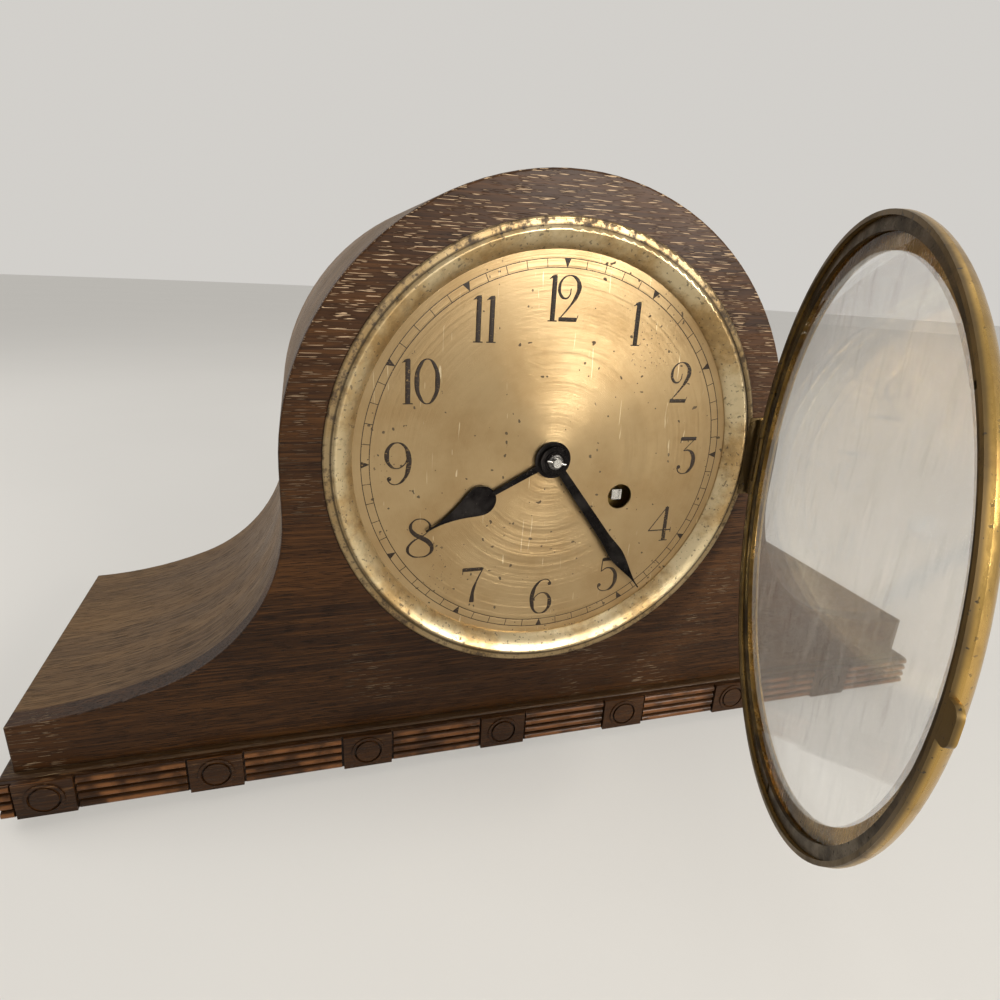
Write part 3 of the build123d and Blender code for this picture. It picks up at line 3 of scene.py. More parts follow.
import bpy
from mathutils import Matrix, Vector
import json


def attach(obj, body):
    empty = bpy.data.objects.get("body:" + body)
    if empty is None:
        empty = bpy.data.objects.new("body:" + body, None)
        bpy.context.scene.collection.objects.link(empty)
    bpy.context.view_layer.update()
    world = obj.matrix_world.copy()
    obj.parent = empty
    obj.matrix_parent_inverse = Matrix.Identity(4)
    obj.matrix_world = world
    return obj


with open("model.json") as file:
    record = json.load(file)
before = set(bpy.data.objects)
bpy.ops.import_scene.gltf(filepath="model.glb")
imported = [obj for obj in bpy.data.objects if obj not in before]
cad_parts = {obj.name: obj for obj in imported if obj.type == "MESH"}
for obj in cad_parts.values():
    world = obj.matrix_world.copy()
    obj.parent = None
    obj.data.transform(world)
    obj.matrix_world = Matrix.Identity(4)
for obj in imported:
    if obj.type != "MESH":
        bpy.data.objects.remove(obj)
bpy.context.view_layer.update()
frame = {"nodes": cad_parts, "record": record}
nodes = frame["nodes"]

MM = 0.001
AXIS_HEIGHT = 123.2 * MM
DIAL_FACE = -55.5 * MM
DIAL_CENTRE = Vector((0, DIAL_FACE, AXIS_HEIGHT))
DOOR_OPEN = math.radians(63.3)
HINGE = (84.6 * MM, -61.6 * MM, AXIS_HEIGHT)
# From the open door's front towards the side that lies against the case when it is shut
INTO_CASE = (-math.sin(DOOR_OPEN), math.cos(DOOR_OPEN), 0)


# ---------------------------------------------------------------- materials

class Wire:
    """One value or colour on its way through the nodes of a material or of the world."""

    def __init__(self, owner, socket):
        self.owner = owner
        self.socket = socket

    def reckon(self, operation, first, second):
        return self.owner.node("ShaderNodeMath", {"operation": operation}, {0: first, 1: second})

    def __add__(self, other):
        return self.reckon("ADD", self, other)

    def __sub__(self, other):
        return self.reckon("SUBTRACT", self, other)

    def __rsub__(self, other):
        return self.reckon("SUBTRACT", other, self)

    def __mul__(self, other):
        return self.reckon("MULTIPLY", self, other)

    __radd__ = __add__
    __rmul__ = __mul__


def srgb(red, green, blue):
    """A colour as a screen shows it, from 0 to 255, in the shader's own linear numbers."""
    linear = []
    for level in (red, green, blue):
        share = level / 255
        linear.append(share / 12.92 if share <= 0.04045 else ((share + 0.055) / 1.055) ** 2.4)
    return (*linear, 1.0)


class Nodes:
    """The nodes of a material or of the world."""

    def __init__(self, tree):
        self.tree = tree

    def node(self, kind, settings=None, values=None, out=0):
        made = self.tree.nodes.new(kind)
        for name, setting in (settings or {}).items():
            setattr(made, name, setting)
        for name, level in (values or {}).items():
            if isinstance(level, Wire):
                self.tree.links.new(level.socket, made.inputs[name])
            else:
                made.inputs[name].default_value = level
        return Wire(self, made.outputs[out])


class Finish(Nodes):
    """A material with one Principled shader, and what feeds it."""

    def __init__(self, name, **fixed):
        self.material = bpy.data.materials.new(name)
        self.material.use_nodes = True
        super().__init__(self.material.node_tree)
        self.shader = self.tree.nodes["Principled BSDF"]
        for socket, level in fixed.items():
            self.shader.inputs[socket.replace("_", " ")].default_value = level

    def place(self, scale, centre=(0, 0, 0)):
        """The place on the clock in metres from centre, drawn out by a scale for each axis."""
        spot = self.node("ShaderNodeTexCoord", out="Object")
        shift = tuple(-c * s for c, s in zip(centre, scale))
        return self.node("ShaderNodeMapping", None, {"Vector": spot, "Scale": scale, "Location": shift})

    def noise(self, place, detail=2.0, rough=0.5, bend=0.0):
        values = {"Vector": place, "Scale": 1.0, "Detail": detail, "Roughness": rough, "Distortion": bend}
        return self.node("ShaderNodeTexNoise", None, values)

    def between(self, value, low, high):
        """0 below low, 1 above high, smooth in between."""
        values = {"Value": value, "From Min": low, "From Max": high}
        return self.node("ShaderNodeMapRange", {"interpolation_type": "SMOOTHSTEP"}, values)

    def mix(self, factor, first, second):
        return self.node("ShaderNodeMix", {"data_type": "RGBA"}, {0: factor, 6: first, 7: second}, out=2)

    def part(self, place, axis):
        return self.node("ShaderNodeSeparateXYZ", None, {0: place}, out=axis)

    def bump(self, height, depth):
        return self.node("ShaderNodeBump", None, {"Height": height, "Distance": depth, "Strength": 1.0})

    def feed(self, **links):
        for socket, wire in links.items():
            self.tree.links.new(wire.socket, self.shader.inputs[socket.replace("_", " ")])
        return self.material


# Waves of noise over a metre of wood: along the grain, and how many more across it
FIGURE_WAVES = (5, 42)
FIBRE_WAVES = (34, 1500)
PORE_WAVES = (140, 2760)
# Heights between which the wood gets painted shade, darker towards the floor
PAINTED_SHADE_FROM, PAINTED_SHADE_TO = 0.09, 0.03
# Depths of the carved strip: a reed's side and top, then where the squares begin and their faces
REED_SIDE, REED_TOP = -64.3 * MM, -64.8 * MM
SQUARE_SIDE, SQUARE_FACE = -64.88 * MM, -64.96 * MM


def grain(waves, drawn):
    """The waves on each axis. drawn has 1 for an axis across the grain and 0 for one along it."""
    along, more = waves
    return [along + more * across for across in drawn]


def oak(name, drawn, dark, middle, light, glint, glints, shine=0.42, worn_and_highlit=None):
    """Stained wood.

    glints has the heights between which the pores get a painted highlight, in the colour glint.
    The last argument is the colour of the carved strip's reed tops: rubbed wear, partly a painted highlight.
    """
    f = Finish(name, Coat_Weight=0.04, Coat_Roughness=0.22, Specular_IOR_Level=0.16)
    figure = f.noise(f.place(grain(FIGURE_WAVES, drawn)), detail=4, rough=0.6, bend=0.6)
    fibre = f.noise(f.place(grain(FIBRE_WAVES, drawn)), detail=3, rough=0.6)
    pore = f.noise(f.place(grain(PORE_WAVES, drawn)), detail=1, bend=0.2)
    patch = f.noise(f.place((22, 22, 22)), detail=3)
    pores = f.between(pore, 0.57, 0.63)
    colour = f.mix(f.between(figure, 0.32, 0.68), srgb(*dark), srgb(*middle))
    colour = f.mix(f.between(fibre, 0.40, 0.72) * 0.55, colour, srgb(*light))
    height = f.part(f.place((1, 1, 1)), 2)
    # Painted highlight: pores between the glints heights, and in random patches, get the colour glint; the
    # other pores stay dark.
    painted_highlight_share = f.between(height, *glints) * 0.75 + f.between(patch, 0.54, 0.70) * 0.25
    # Painted shade: the wood darkens towards the floor.
    colour = f.mix(f.between(height, PAINTED_SHADE_FROM, PAINTED_SHADE_TO) * 0.35, colour, srgb(*dark))
    colour = f.mix(pores * (1 - painted_highlight_share) * 0.7, colour, srgb(*[level * 0.45 for level in dark]))
    colour = f.mix(f.between(pore, 0.625, 0.66) * painted_highlight_share, colour, srgb(*glint))
    # The reed tops get a lighter colour: rubbed wear, partly a painted highlight.
    if worn_and_highlit:
        depth = f.part(f.place((1, 1, 1)), 1)
        reeds = f.between(depth, REED_SIDE, REED_TOP) - f.between(depth, SQUARE_SIDE, SQUARE_FACE)
        rub = reeds * f.between(f.noise(f.place((90, 60, 60)), detail=3), 0.36, 0.60)
        colour = f.mix(rub, colour, srgb(*worn_and_highlit))
    rough = shine + f.between(patch, 0.3, 0.8) * 0.12 + pores * 0.2
    normal = f.bump(fibre * 0.25 - pores * 0.8, 0.12 * MM)
    return f.feed(Base_Color=colour, Roughness=rough, Normal=normal)


def metal(name, clean, dull, spot, shine, aged=(0.45, 0.72), specks=(0.66, 0.70)):
    """Handled metal: clean where it is rubbed, dull in patches, with small spots."""
    f = Finish(name)
    patch = f.noise(f.place((70, 70, 70)), detail=5, rough=0.62)
    fine = f.noise(f.place((900, 900, 900)), detail=2)
    scuff = f.noise(f.place((2600, 260, 2600)), detail=2)
    age = f.between(patch, *aged)
    speck = f.between(fine, *specks)
    colour = f.mix(age, srgb(*clean), srgb(*dull))
    colour = f.mix(speck * 0.8, colour, srgb(*spot))
    rough = shine + age * 0.22 + speck * 0.3 + f.between(scuff, 0.4, 0.7) * 0.08
    metallic = 1 - age * 0.25 - speck * 0.5
    normal = f.bump(scuff * 0.5 + patch - speck, 0.01 * MM)
    return f.feed(Base_Color=colour, Roughness=rough, Metallic=metallic, Normal=normal)


# Which axes lie across the grain
ALONG = (0, 1, 1)      # grain from end to end
WRAPPED = (0, 1, 0)    # grain around the bend of the case
UPRIGHT = (1, 1, 0)    # grain from bottom to top

oak_front = oak("stained_oak_front", ALONG, (33, 16, 3), (63, 37, 12), (94, 60, 28), (214, 184, 148),
                (0.11, 0.20))
oak_skin = oak("stained_oak_wrap", WRAPPED, (76, 53, 27), (110, 81, 46), (140, 112, 76), (166, 144, 112),
               (0.10, 0.30))
oak_base = oak("stained_oak_plinth", ALONG, (40, 24, 9), (68, 45, 22), (102, 78, 50), (138, 116, 86),
               (0.0, 0.05))
oak_carved = oak("stained_oak_carving", ALONG, (30, 15, 4), (58, 34, 13), (88, 56, 28), (150, 108, 68),
                 (0.0, 0.05), shine=0.26, worn_and_highlit=(112, 72, 40))
pine = oak("stained_pine_back", UPRIGHT, (84, 54, 30), (118, 80, 48), (146, 108, 70), (160, 128, 92),
           (0.10, 0.30), shine=0.55)
# Painted shade: the board under the plinth is coloured darker than the plinth, for the shade beneath the
# moulding.
bottom_wood = oak("board_under_painted_shade", ALONG, (30, 20, 12), (48, 33, 20), (66, 48, 32), (84, 66, 48),
                  (0.5, 0.6), shine=0.6)

clock_brass = metal("movement_brass", (206, 168, 96), (164, 126, 66), (84, 62, 34), 0.3, aged=(0.5, 0.8))
hand_steel = metal("blued_hands", (26, 24, 24), (40, 36, 34), (70, 64, 58), 0.26, specks=(0.70, 0.74))
bright_steel = metal("bright_steel", (190, 188, 184), (140, 136, 130), (74, 66, 60), 0.22)
collet_steel = metal("collet_steel", (98, 96, 94), (62, 60, 58), (40, 36, 32), 0.25)
dark_steel = metal("dark_steel", (86, 84, 82), (58, 55, 52), (96, 70, 50), 0.34)


BRUSH_LINES = 7500     # brushed waves over a metre of the dial's radius


def dial_metal():
    """Silvered brass dial, brushed in circles about its centre, with age spots and a few scratches."""
    f = Finish("silvered_dial_metal")
    flat = f.place((1, 0, 1), (0, 0, AXIS_HEIGHT))
    radius = f.node("ShaderNodeVectorMath", {"operation": "LENGTH"}, {0: flat}, out="Value")
    brush = f.node("ShaderNodeTexNoise", {"noise_dimensions": "1D"},
                   {"W": radius * BRUSH_LINES, "Scale": 1.0, "Detail": 0.0})
    patch = f.noise(f.place((38, 38, 38)), detail=5, rough=0.6)
    cloud = f.noise(f.place((11, 11, 11)), detail=3)
    spots = f.between(f.noise(f.place((420, 420, 420)), detail=1), 0.735, 0.755)
    trail = f.between(f.noise(f.place((30, 30, 30)), detail=2), 0.60, 0.66)
    grit = f.between(f.noise(f.place((900, 900, 900)), detail=1), 0.66, 0.69) * trail
    scratch = f.between(f.noise(f.place((900, 900, 60)), detail=0, bend=1.2), 0.80, 0.83)
    colour = f.mix(f.between(patch, 0.35, 0.75), srgb(170, 146, 108), srgb(150, 124, 86))
    colour = f.mix(f.between(cloud, 0.45, 0.75) * 0.5, colour, srgb(130, 104, 68))
    colour = f.mix(f.between(brush, 0.3, 0.7) * 0.12, colour, srgb(196, 172, 130))
    colour = f.mix((spots + grit) * 0.8, colour, srgb(48, 36, 24))
    colour = f.mix(scratch * 0.5, colour, srgb(235, 220, 186))
    rough = 0.31 + f.between(patch, 0.4, 0.8) * 0.08 + spots * 0.3
    metallic = 0.96 - spots * 0.6 - grit * 0.6
    normal = f.bump(brush, 0.04 * MM)
    return f.feed(Base_Color=colour, Roughness=rough, Metallic=metallic, Normal=normal)


def window_pane():
    """Clear old glass with a light haze of dust."""
    f = Finish("window_pane", IOR=1.45, Transmission_Weight=1.0)
    haze = f.noise(f.place((40, 40, 40)), detail=4)
    smear = f.noise(f.place((300, 300, 60)), detail=2)
    rough = f.between(haze, 0.4, 0.8) * 0.02
    alpha = 0.34 + f.between(smear, 0.5, 0.8) * 0.12
    colour = f.mix(f.between(haze, 0.4, 0.8), srgb(250, 248, 240), srgb(226, 220, 206))
    return f.feed(Base_Color=colour, Roughness=rough, Alpha=alpha)


def ink():
    """Black wax of the numerals and the minute track, rubbed through in places."""
    f = Finish("dial_ink", Specular_IOR_Level=0.3)
    rub = f.between(f.noise(f.place((700, 700, 1900)), detail=3, rough=0.7), 0.56, 0.66)
    near = f.between(f.noise(f.place((46, 46, 46)), detail=2), 0.50, 0.66)
    colour = f.mix(rub * (0.25 + near * 0.6), srgb(40, 28, 18), srgb(150, 122, 78))
    rough = 0.45 + rub * 0.2
    return f.feed(Base_Color=colour, Roughness=rough, Normal=f.bump(rub, 0.01 * MM))


# Radii on the surround: where the bright ring turns into the dark flange, and the seam between them
RING_TO_FLANGE = (78.6 * MM, 80.6 * MM)
SEAM_INSIDE = (79.3 * MM, 79.8 * MM)
SEAM_OUTSIDE = (80.0 * MM, 80.5 * MM)


def surround_metal():
    """Worn silvering on brass: cream on the slope, dark and mottled on the flange."""
    f = Finish("surround_silvering")
    flat = f.place((1, 0, 1), (0, 0, AXIS_HEIGHT))
    radius = f.node("ShaderNodeVectorMath", {"operation": "LENGTH"}, {0: flat}, out="Value")
    patch = f.noise(f.place((46, 46, 46)), detail=5, rough=0.65)
    mottle = f.noise(f.place((330, 330, 330)), detail=4, rough=0.7)
    fleck = f.between(f.noise(f.place((700, 700, 700)), detail=2), 0.62, 0.68)
    rim = f.between(radius, *RING_TO_FLANGE)
    seam = f.between(radius, *SEAM_INSIDE) - f.between(radius, *SEAM_OUTSIDE)
    stain = f.between(mottle + patch * 0.6, 0.76, 0.98) * (0.25 + rim * 0.75)
    colour = f.mix(f.between(patch, 0.38, 0.66), srgb(206, 188, 150), srgb(176, 146, 98))
    colour = f.mix(rim * 0.75, colour, srgb(128, 106, 72))
    colour = f.mix(stain, colour, srgb(74, 58, 38))
    colour = f.mix(seam * 0.8 + fleck * 0.6, colour, srgb(38, 28, 16))
    rough = 0.3 + f.between(patch, 0.4, 0.8) * 0.12 + stain * 0.25
    metallic = 0.86 - stain * 0.4 - fleck * 0.4
    normal = f.bump(mottle * 0.6 - fleck, 0.03 * MM)
    return f.feed(Base_Color=colour, Roughness=rough, Metallic=metallic, Normal=normal)


BEZEL_EDGE = (-0.4 * MM, 0.9 * MM)     # behind the hinge's axis, where the bezel turns dark


def bezel_metal():
    """Lacquered brass of the glass's bezel, dark along the edge that meets the case."""
    f = Finish("bezel_brass")
    spot = f.place((1, 1, 1), HINGE)
    back = f.node("ShaderNodeVectorMath", {"operation": "DOT_PRODUCT"},
                  {0: spot, 1: INTO_CASE}, out="Value")
    edge = f.between(back, *BEZEL_EDGE)
    patch = f.noise(f.place((60, 60, 60)), detail=5, rough=0.62)
    fleck = f.between(f.noise(f.place((800, 800, 800)), detail=2), 0.66, 0.70)
    scuff = f.noise(f.place((1500, 1500, 200)), detail=3)
    colour = f.mix(f.between(patch, 0.42, 0.72), srgb(182, 148, 84), srgb(124, 98, 56))
    colour = f.mix(edge * 0.8 + fleck * 0.5, colour, srgb(46, 36, 22))
    rough = 0.22 + f.between(patch, 0.4, 0.7) * 0.16 + edge * 0.2 + f.between(scuff, 0.4, 0.7) * 0.06
    metallic = 0.97 - edge * 0.3 - fleck * 0.3
    normal = f.bump(scuff - fleck, 0.008 * MM)
    return f.feed(Base_Color=colour, Roughness=rough, Metallic=metallic, Normal=normal)


dial_finish = dial_metal()
bead_brass = surround_metal()
old_brass = bezel_metal()
retainer_brass = metal("retaining_ring_brass", (88, 72, 44), (52, 42, 28), (24, 19, 13), 0.34,
                       aged=(0.35, 0.6))
pane = window_pane()
dial_ink = ink()

DRESS = {
    "oak_front": oak_front, "oak_skin": oak_skin, "oak_base": oak_base, "oak_carved": oak_carved,
    "pine": pine, "bottom_wood": bottom_wood, "silvered_dial": dial_finish, "bead_brass": bead_brass,
    "old_brass": old_brass, "clock_brass": clock_brass, "hand_steel": hand_steel,
    "bright_steel": bright_steel, "dark_steel": dark_steel, "window_glass": pane,
}
for entry in frame["record"]["subparts"]:
    for slot in nodes[entry["node"]].material_slots:
        slot.material = DRESS[entry["material_slot"]]
for name, material in (("door_retainer", retainer_brass), ("hand_collet", collet_steel)):
    for slot in nodes[name].material_slots:
        slot.material = material


# ---------------------------------------------------------------- new pieces

def clear():
    bpy.ops.object.select_all(action="DESELECT")


def pick(piece):
    clear()
    piece.select_set(True)
    bpy.context.view_layer.objects.active = piece


def join(pieces, name):
    """Joins finished shapes into one piece with its object at the origin."""
    clear()
    for piece in pieces:
        piece.select_set(True)
    bpy.context.view_layer.objects.active = pieces[0]
    if len(pieces) > 1:
        bpy.ops.object.join()
    piece = bpy.context.view_layer.objects.active
    bpy.ops.object.transform_apply(location=True, rotation=True, scale=True)
    piece.name = name
    piece.data.name = name
    return piece


def settle(piece, body, material):
    piece.data.materials.clear()
    piece.data.materials.append(material)
    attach(piece, body)


NUMERAL_HEIGHT = 15.3 * MM
NUMERAL_RADIUS = 56.8 * MM
INK_RISE = 0.07                         # thickness of a stroke, as a share of its width
INK_FACE = DIAL_FACE - 0.02 * MM
FOOT_REACH = 0.08                       # from a first digit's stem to the left end of its foot


def stroke(points, closed=False):
    """A pen stroke through points of (across, up, half its width), in shares of a numeral's height."""
    clear()
    bpy.ops.curve.primitive_bezier_curve_add()
    line = bpy.context.object
    line.data.splines.clear()
    line.data.dimensions = "3D"
    spline = line.data.splines.new("BEZIER")
    spline.bezier_points.add(len(points) - 1)
    for spot, (across, up, half) in zip(spline.bezier_points, points):
        spot.co = (across, 0, up)
        spot.radius = half
        spot.handle_left_type = "AUTO"
        spot.handle_right_type = "AUTO"
    spline.use_cyclic_u = closed
    spline.radius_interpolation = "EASE"
    line.data.bevel_depth = 1.0
    line.data.bevel_resolution = 2
    line.data.resolution_u = 8
    line.data.use_fill_caps = True
    bpy.ops.object.convert(target="MESH")
    return bpy.context.object


def ball(across, up, radius):
    clear()
    bpy.ops.mesh.primitive_uv_sphere_add(segments=16, ring_count=8, radius=radius, location=(across, 0, up))
    bpy.ops.object.transform_apply(location=True, rotation=True, scale=True)
    return bpy.context.object


# Each digit: its width, its open strokes, its closed strokes and its ball ends
DIGITS = {
    "1": (0.0, [
        [(0, 0.01, 0.056), (0, 0.97, 0.056)],
        [(-0.11, 0.012, 0.013), (0.11, 0.012, 0.013)],
        [(-0.13, 0.90, 0.008), (-0.03, 0.955, 0.030), (0.05, 0.99, 0.010)],
    ], [], []),
    "2": (0.48, [
        [(0.27, 0.72, 0.010), (0.24, 0.56, 0.014), (0.15, 0.50, 0.020), (0.04, 0.56, 0.034),
         (-0.01, 0.72, 0.036), (0.05, 0.90, 0.020), (0.22, 0.99, 0.012), (0.40, 0.91, 0.038),
         (0.46, 0.76, 0.056), (0.42, 0.58, 0.046), (0.27, 0.34, 0.020), (0.03, 0.05, 0.014)],
        [(0.02, 0.052, 0.046), (0.45, 0.052, 0.046)],
        [(0.44, 0.02, 0.014), (0.49, 0.15, 0.008)],
    ], [], []),
    "3": (0.52, [
        [(0.05, 0.935, 0.050), (0.47, 0.935, 0.046)],
        [(0.035, 0.82, 0.010), (0.04, 0.97, 0.016)],
        [(0.47, 0.97, 0.014), (0.15, 0.62, 0.012)],
        [(0.15, 0.62, 0.012), (0.29, 0.63, 0.022), (0.43, 0.52, 0.050), (0.47, 0.34, 0.060),
         (0.40, 0.11, 0.040), (0.24, 0.01, 0.013), (0.08, 0.06, 0.014), (0.03, 0.17, 0.020)],
    ], [], [(0.07, 0.19, 0.052)]),
    "4": (0.66, [
        [(0.50, 0.98, 0.013), (0.02, 0.31, 0.014)],
        [(0.01, 0.31, 0.017), (0.68, 0.31, 0.017)],
        [(0.67, 0.24, 0.010), (0.67, 0.38, 0.010)],
        [(0.49, 0.02, 0.056), (0.49, 0.96, 0.050)],
        [(0.37, 0.012, 0.013), (0.61, 0.012, 0.013)],
    ], [], []),
    "5": (0.56, [
        [(0.11, 0.93, 0.052), (0.50, 0.93, 0.046)],
        [(0.10, 0.96, 0.014), (0.09, 0.58, 0.012)],
        [(0.09, 0.59, 0.012), (0.26, 0.68, 0.016), (0.44, 0.60, 0.042), (0.52, 0.37, 0.058),
         (0.44, 0.10, 0.038), (0.26, 0.01, 0.013), (0.08, 0.06, 0.014), (0.03, 0.17, 0.020)],
    ], [], [(0.07, 0.19, 0.052)]),
    "6": (0.58, [
        [(0.54, 0.88, 0.016), (0.46, 0.97, 0.014), (0.34, 0.985, 0.012), (0.17, 0.87, 0.034),
         (0.06, 0.60, 0.056), (0.06, 0.32, 0.054), (0.15, 0.08, 0.028), (0.31, 0.01, 0.012),
         (0.47, 0.08, 0.034), (0.55, 0.31, 0.056), (0.48, 0.53, 0.036), (0.33, 0.61, 0.012),
         (0.16, 0.53, 0.014), (0.08, 0.38, 0.016)],
    ], [], [(0.51, 0.86, 0.052)]),
    "7": (0.56, [
        [(0.03, 0.93, 0.050), (0.53, 0.93, 0.046)],
        [(0.02, 0.80, 0.010), (0.025, 0.96, 0.016)],
        [(0.55, 0.96, 0.014), (0.40, 0.64, 0.020), (0.30, 0.34, 0.040), (0.27, 0.02, 0.062)],
    ], [], []),
    "8": (0.62, [], [
        [(0.10, 0.78, 0.040), (0.20, 0.61, 0.052), (0.38, 0.50, 0.058), (0.55, 0.37, 0.058),
         (0.62, 0.21, 0.046), (0.52, 0.05, 0.020), (0.33, 0.01, 0.012), (0.12, 0.06, 0.022),
         (0.03, 0.21, 0.036), (0.11, 0.38, 0.024), (0.30, 0.51, 0.013), (0.49, 0.63, 0.013),
         (0.57, 0.79, 0.030), (0.48, 0.94, 0.016), (0.33, 0.99, 0.012), (0.17, 0.94, 0.018)],
    ], []),
    "9": (0.58, [
        [(0.50, 0.62, 0.016), (0.42, 0.47, 0.014), (0.25, 0.39, 0.012), (0.10, 0.47, 0.034),
         (0.03, 0.69, 0.056), (0.11, 0.92, 0.034), (0.27, 0.99, 0.012), (0.42, 0.92, 0.030),
         (0.52, 0.70, 0.056), (0.52, 0.40, 0.056), (0.41, 0.12, 0.032), (0.24, 0.01, 0.012),
         (0.11, 0.04, 0.014), (0.05, 0.12, 0.018)],
    ], [], [(0.08, 0.145, 0.052)]),
    "0": (0.46, [], [
        [(0.0, 0.5, 0.056), (0.06, 0.83, 0.040), (0.23, 0.99, 0.012), (0.40, 0.83, 0.040),
         (0.46, 0.5, 0.056), (0.40, 0.17, 0.040), (0.23, 0.01, 0.012), (0.06, 0.17, 0.040)],
    ], []),
}
# How far the second digit's left side lies from the first digit's stem
TWO_DIGITS = {10: 0.20, 11: 0.30, 12: 0.13}


def digit(sign, across):
    width, lines, loops, ends = DIGITS[sign]
    shapes = [stroke([(x + across, z, half) for x, z, half in line]) for line in lines]
    shapes += [stroke([(x + across, z, half) for x, z, half in loop], True) for loop in loops]
    shapes += [ball(x + across, z, radius) for x, z, radius in ends]
    return shapes, across + width


for hour in range(1, 13):
    if hour < 10:
        shapes, width = digit(str(hour), 0)
        middle = width / 2
    else:
        shapes, _ = digit("1", 0)
        more, width = digit(str(hour)[1], TWO_DIGITS[hour])
        shapes += more
        middle = (width - FOOT_REACH) / 2
    numeral = join(shapes, f"numeral_{hour}")
    turn = math.radians(30 * hour)
    spot = Vector((NUMERAL_RADIUS * math.sin(turn), INK_FACE, AXIS_HEIGHT + NUMERAL_RADIUS * math.cos(turn)))
    shift = Matrix.Translation((-middle, 0, -0.5))
    size = Matrix.Diagonal((NUMERAL_HEIGHT, NUMERAL_HEIGHT * INK_RISE, NUMERAL_HEIGHT, 1))
    numeral.data.transform(Matrix.Translation(spot) @ size @ shift)
    pick(numeral)
    bpy.ops.object.shade_smooth()
    settle(numeral, "case", dial_ink)


TRACK_OUTER = 69.8 * MM
TRACK_INNER = 66.9 * MM
TRACK_LINE = 0.26 * MM
TRACK_RISE = 0.05 * MM
MINUTES = 60


def track_circle(radius):
    """A thin raised ring drawn on the dial."""
    clear()
    bpy.ops.mesh.primitive_circle_add(vertices=180, radius=radius, fill_type="NOTHING",
                                      location=DIAL_CENTRE, rotation=(math.radians(90), 0, 0))
    ring = bpy.context.object
    bpy.ops.object.transform_apply(location=True, rotation=True, scale=True)
    bpy.ops.object.mode_set(mode="EDIT")
    bpy.ops.mesh.select_all(action="SELECT")
    bpy.ops.mesh.extrude_edges_move()
    share = (radius - TRACK_LINE) / radius
    bpy.ops.transform.resize(value=(share, share, share), center_override=DIAL_CENTRE)
    bpy.ops.mesh.select_all(action="SELECT")
    bpy.ops.mesh.extrude_region_move(TRANSFORM_OT_translate={"value": (0, -TRACK_RISE, 0)})
    bpy.ops.mesh.select_all(action="SELECT")
    bpy.ops.mesh.normals_make_consistent(inside=False)
    bpy.ops.object.mode_set(mode="OBJECT")
    return ring


def tapered_bar(outer_half, inner_half):
    """A mark between the two circles at twelve o'clock, as wide at each end as its two halves say."""
    middle = (TRACK_OUTER + TRACK_INNER) / 2 - TRACK_LINE / 2
    clear()
    bpy.ops.mesh.primitive_cube_add(size=1, location=DIAL_CENTRE + Vector((0, -TRACK_RISE / 2, middle)),
                                    scale=(2 * outer_half, TRACK_RISE, TRACK_OUTER - TRACK_INNER))
    bar = bpy.context.object
    bpy.ops.object.transform_apply(location=True, rotation=True, scale=True)
    bpy.ops.object.mode_set(mode="EDIT")
    bpy.ops.mesh.select_all(action="DESELECT")
    bpy.ops.object.mode_set(mode="OBJECT")
    for vertex in bar.data.vertices:
        vertex.select = vertex.co.z < AXIS_HEIGHT + middle
    bpy.ops.object.mode_set(mode="EDIT")
    bpy.ops.transform.resize(value=(inner_half / outer_half, 1, 1), center_override=DIAL_CENTRE)
    bpy.ops.object.mode_set(mode="OBJECT")
    return bar


minute_bar = tapered_bar(0.12 * MM, 0.12 * MM)
hour_mark = tapered_bar(1.25 * MM, 0.06 * MM)
marks = []
for minute in range(MINUTES):
    pattern = minute_bar if minute % 5 else hour_mark
    mark = pattern.copy()
    mark.data = pattern.data.copy()
    bpy.context.collection.objects.link(mark)
    turned = Matrix.Rotation(math.radians(360 / MINUTES * minute), 4, "Y")
    mark.data.transform(Matrix.Translation(DIAL_CENTRE) @ turned @ Matrix.Translation(-DIAL_CENTRE))
    marks.append(mark)
for pattern in (minute_bar, hour_mark):
    bpy.data.objects.remove(pattern)
track = join([track_circle(TRACK_OUTER), track_circle(TRACK_INNER)] + marks, "minute_track")
settle(track, "case", dial_ink)


# ---------------------------------------------------------------- room, light and camera

FLOOR_RADIUS = 6
ROOM_LIGHT = 0.32      # the pale room's light on the clock
ROOM_SHOWN = 0.48      # how much brighter the camera sees the room
FLOOR_SHOWN = 0.5      # share of plain pale colour in the floor as the camera sees it


def seen(f):
    """1 for what the camera sees, straight, mirrored or through glass, 0 for the light on the clock."""
    straight, mirrored, through = (f.node("ShaderNodeLightPath", out=f"Is {kind} Ray")
                                   for kind in ("Camera", "Glossy", "Transmission"))
    return f.node("ShaderNodeMath", {"operation": "ADD", "use_clamp": True},
                  {0: straight + mirrored, 1: through})


def floor_paint():
    f = Finish("pale_floor", Specular_IOR_Level=0.2)
    grain = f.noise(f.place((3, 3, 3)), detail=4)
    colour = f.mix(f.between(grain, 0.3, 0.7), srgb(214, 210, 203), srgb(220, 216, 209))
    rough = 0.7 + f.between(grain, 0.3, 0.7) * 0.1
    f.feed(Base_Color=colour, Roughness=rough)
    glow = f.node("ShaderNodeEmission", None, {"Color": srgb(226, 223, 217), "Strength": 1.0})
    share = seen(f) * FLOOR_SHOWN
    blend = f.node("ShaderNodeMixShader", None, {0: share, 1: Wire(f, f.shader.outputs[0]), 2: glow})
    f.tree.links.new(blend.socket, f.tree.nodes["Material Output"].inputs["Surface"])
    return f.material


clear()
bpy.ops.mesh.primitive_circle_add(vertices=96, radius=FLOOR_RADIUS, fill_type="NGON", location=(0, 0, 0))
floor = bpy.context.object
floor.name = "studio_floor"
floor.data.materials.append(floor_paint())

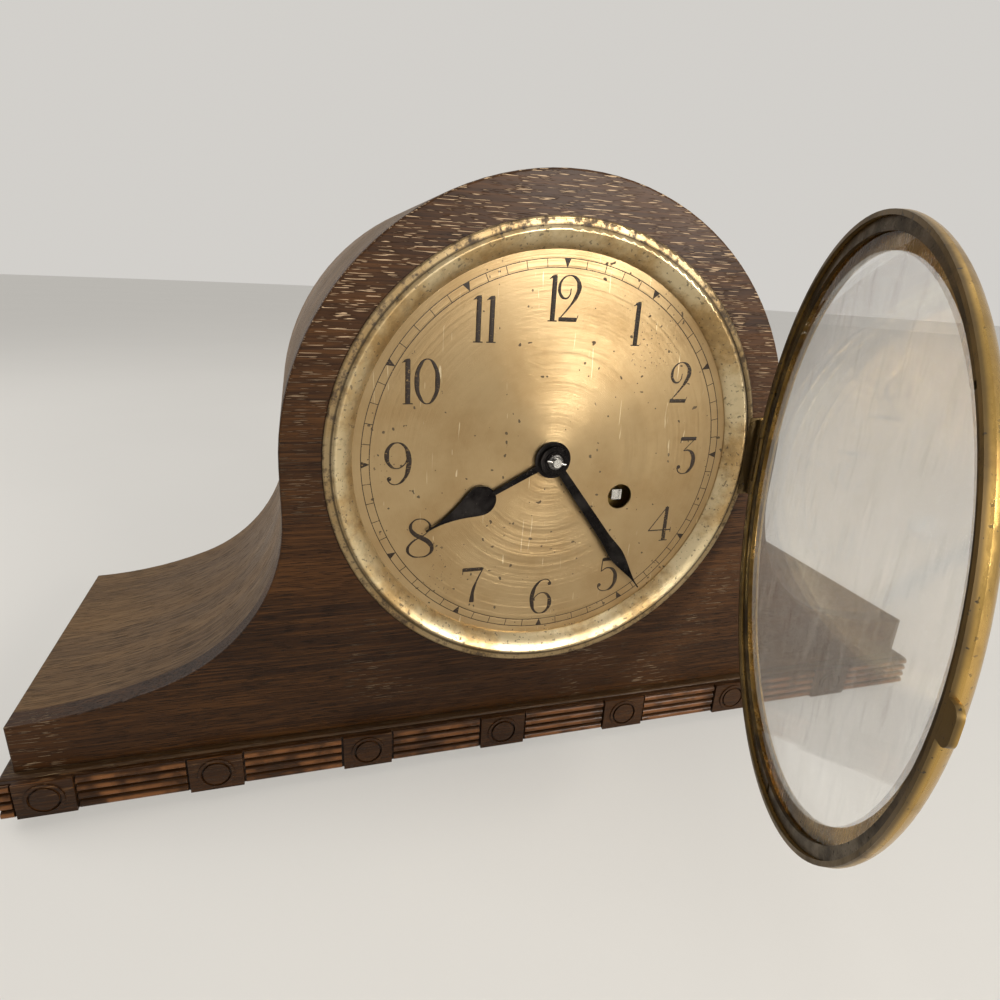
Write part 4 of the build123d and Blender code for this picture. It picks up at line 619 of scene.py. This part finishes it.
world = bpy.data.worlds.new("pale_room")
bpy.context.scene.world = world
world.use_nodes = True
air = Nodes(world.node_tree)
background = air.tree.nodes["Background"]
background.inputs["Color"].default_value = srgb(232, 229, 224)
strength = ROOM_LIGHT + seen(air) * ROOM_SHOWN
air.tree.links.new(strength.socket, background.inputs["Strength"])


def lamp(name, spot, aim, size, power, tint=(1, 1, 1)):
    """A square lamp at spot that shines at aim, its size in metres and its power in watts."""
    clear()
    bpy.ops.object.light_add(type="AREA", location=spot)
    light = bpy.context.object
    light.name = name
    light.data.size = size
    light.data.energy = power
    light.data.color = tint
    light.rotation_euler = (Vector(aim) - Vector(spot)).to_track_quat("-Z", "Y").to_euler()


lamp("key", spot=(0.45, -0.92, 0.40), aim=(0, -0.05, 0.12), size=0.36, power=10.5, tint=(1, 0.97, 0.92))
lamp("side", spot=(-0.95, 0.35, 0.75), aim=(-0.1, 0, 0.12), size=0.7, power=6)
lamp("above", spot=(0.1, 0.1, 1.5), aim=(0, 0, 0.1), size=1.2, power=5)

# Where the photograph was taken from, which way the camera looks, and its lens
EYE = Vector((-0.08803, -0.27374, 0.18713))
YAW, PITCH, ROLL = (math.radians(a) for a in (16.944, -19.703, 2.988))
SENSOR_WIDTH, LENS = 36, 23.55
SHIFT_X, SHIFT_Y = 0.0065, 0.0072
NEAR = 0.01
forward = Vector((math.sin(YAW) * math.cos(PITCH), math.cos(YAW) * math.cos(PITCH), math.sin(PITCH)))
level = forward.cross(Vector((0, 0, 1))).normalized()
upward = level.cross(forward)
right = level * math.cos(ROLL) + upward * math.sin(ROLL)
top = upward * math.cos(ROLL) - level * math.sin(ROLL)
clear()
bpy.ops.object.camera_add()
camera = bpy.context.object
camera.matrix_world = Matrix.Translation(EYE) @ Matrix((right, top, -forward)).transposed().to_4x4()
camera.data.sensor_width = SENSOR_WIDTH
camera.data.lens = LENS
camera.data.shift_x = SHIFT_X
camera.data.shift_y = SHIFT_Y
camera.data.clip_start = NEAR
bpy.context.scene.camera = camera
bpy.context.scene.view_settings.view_transform = "Standard"
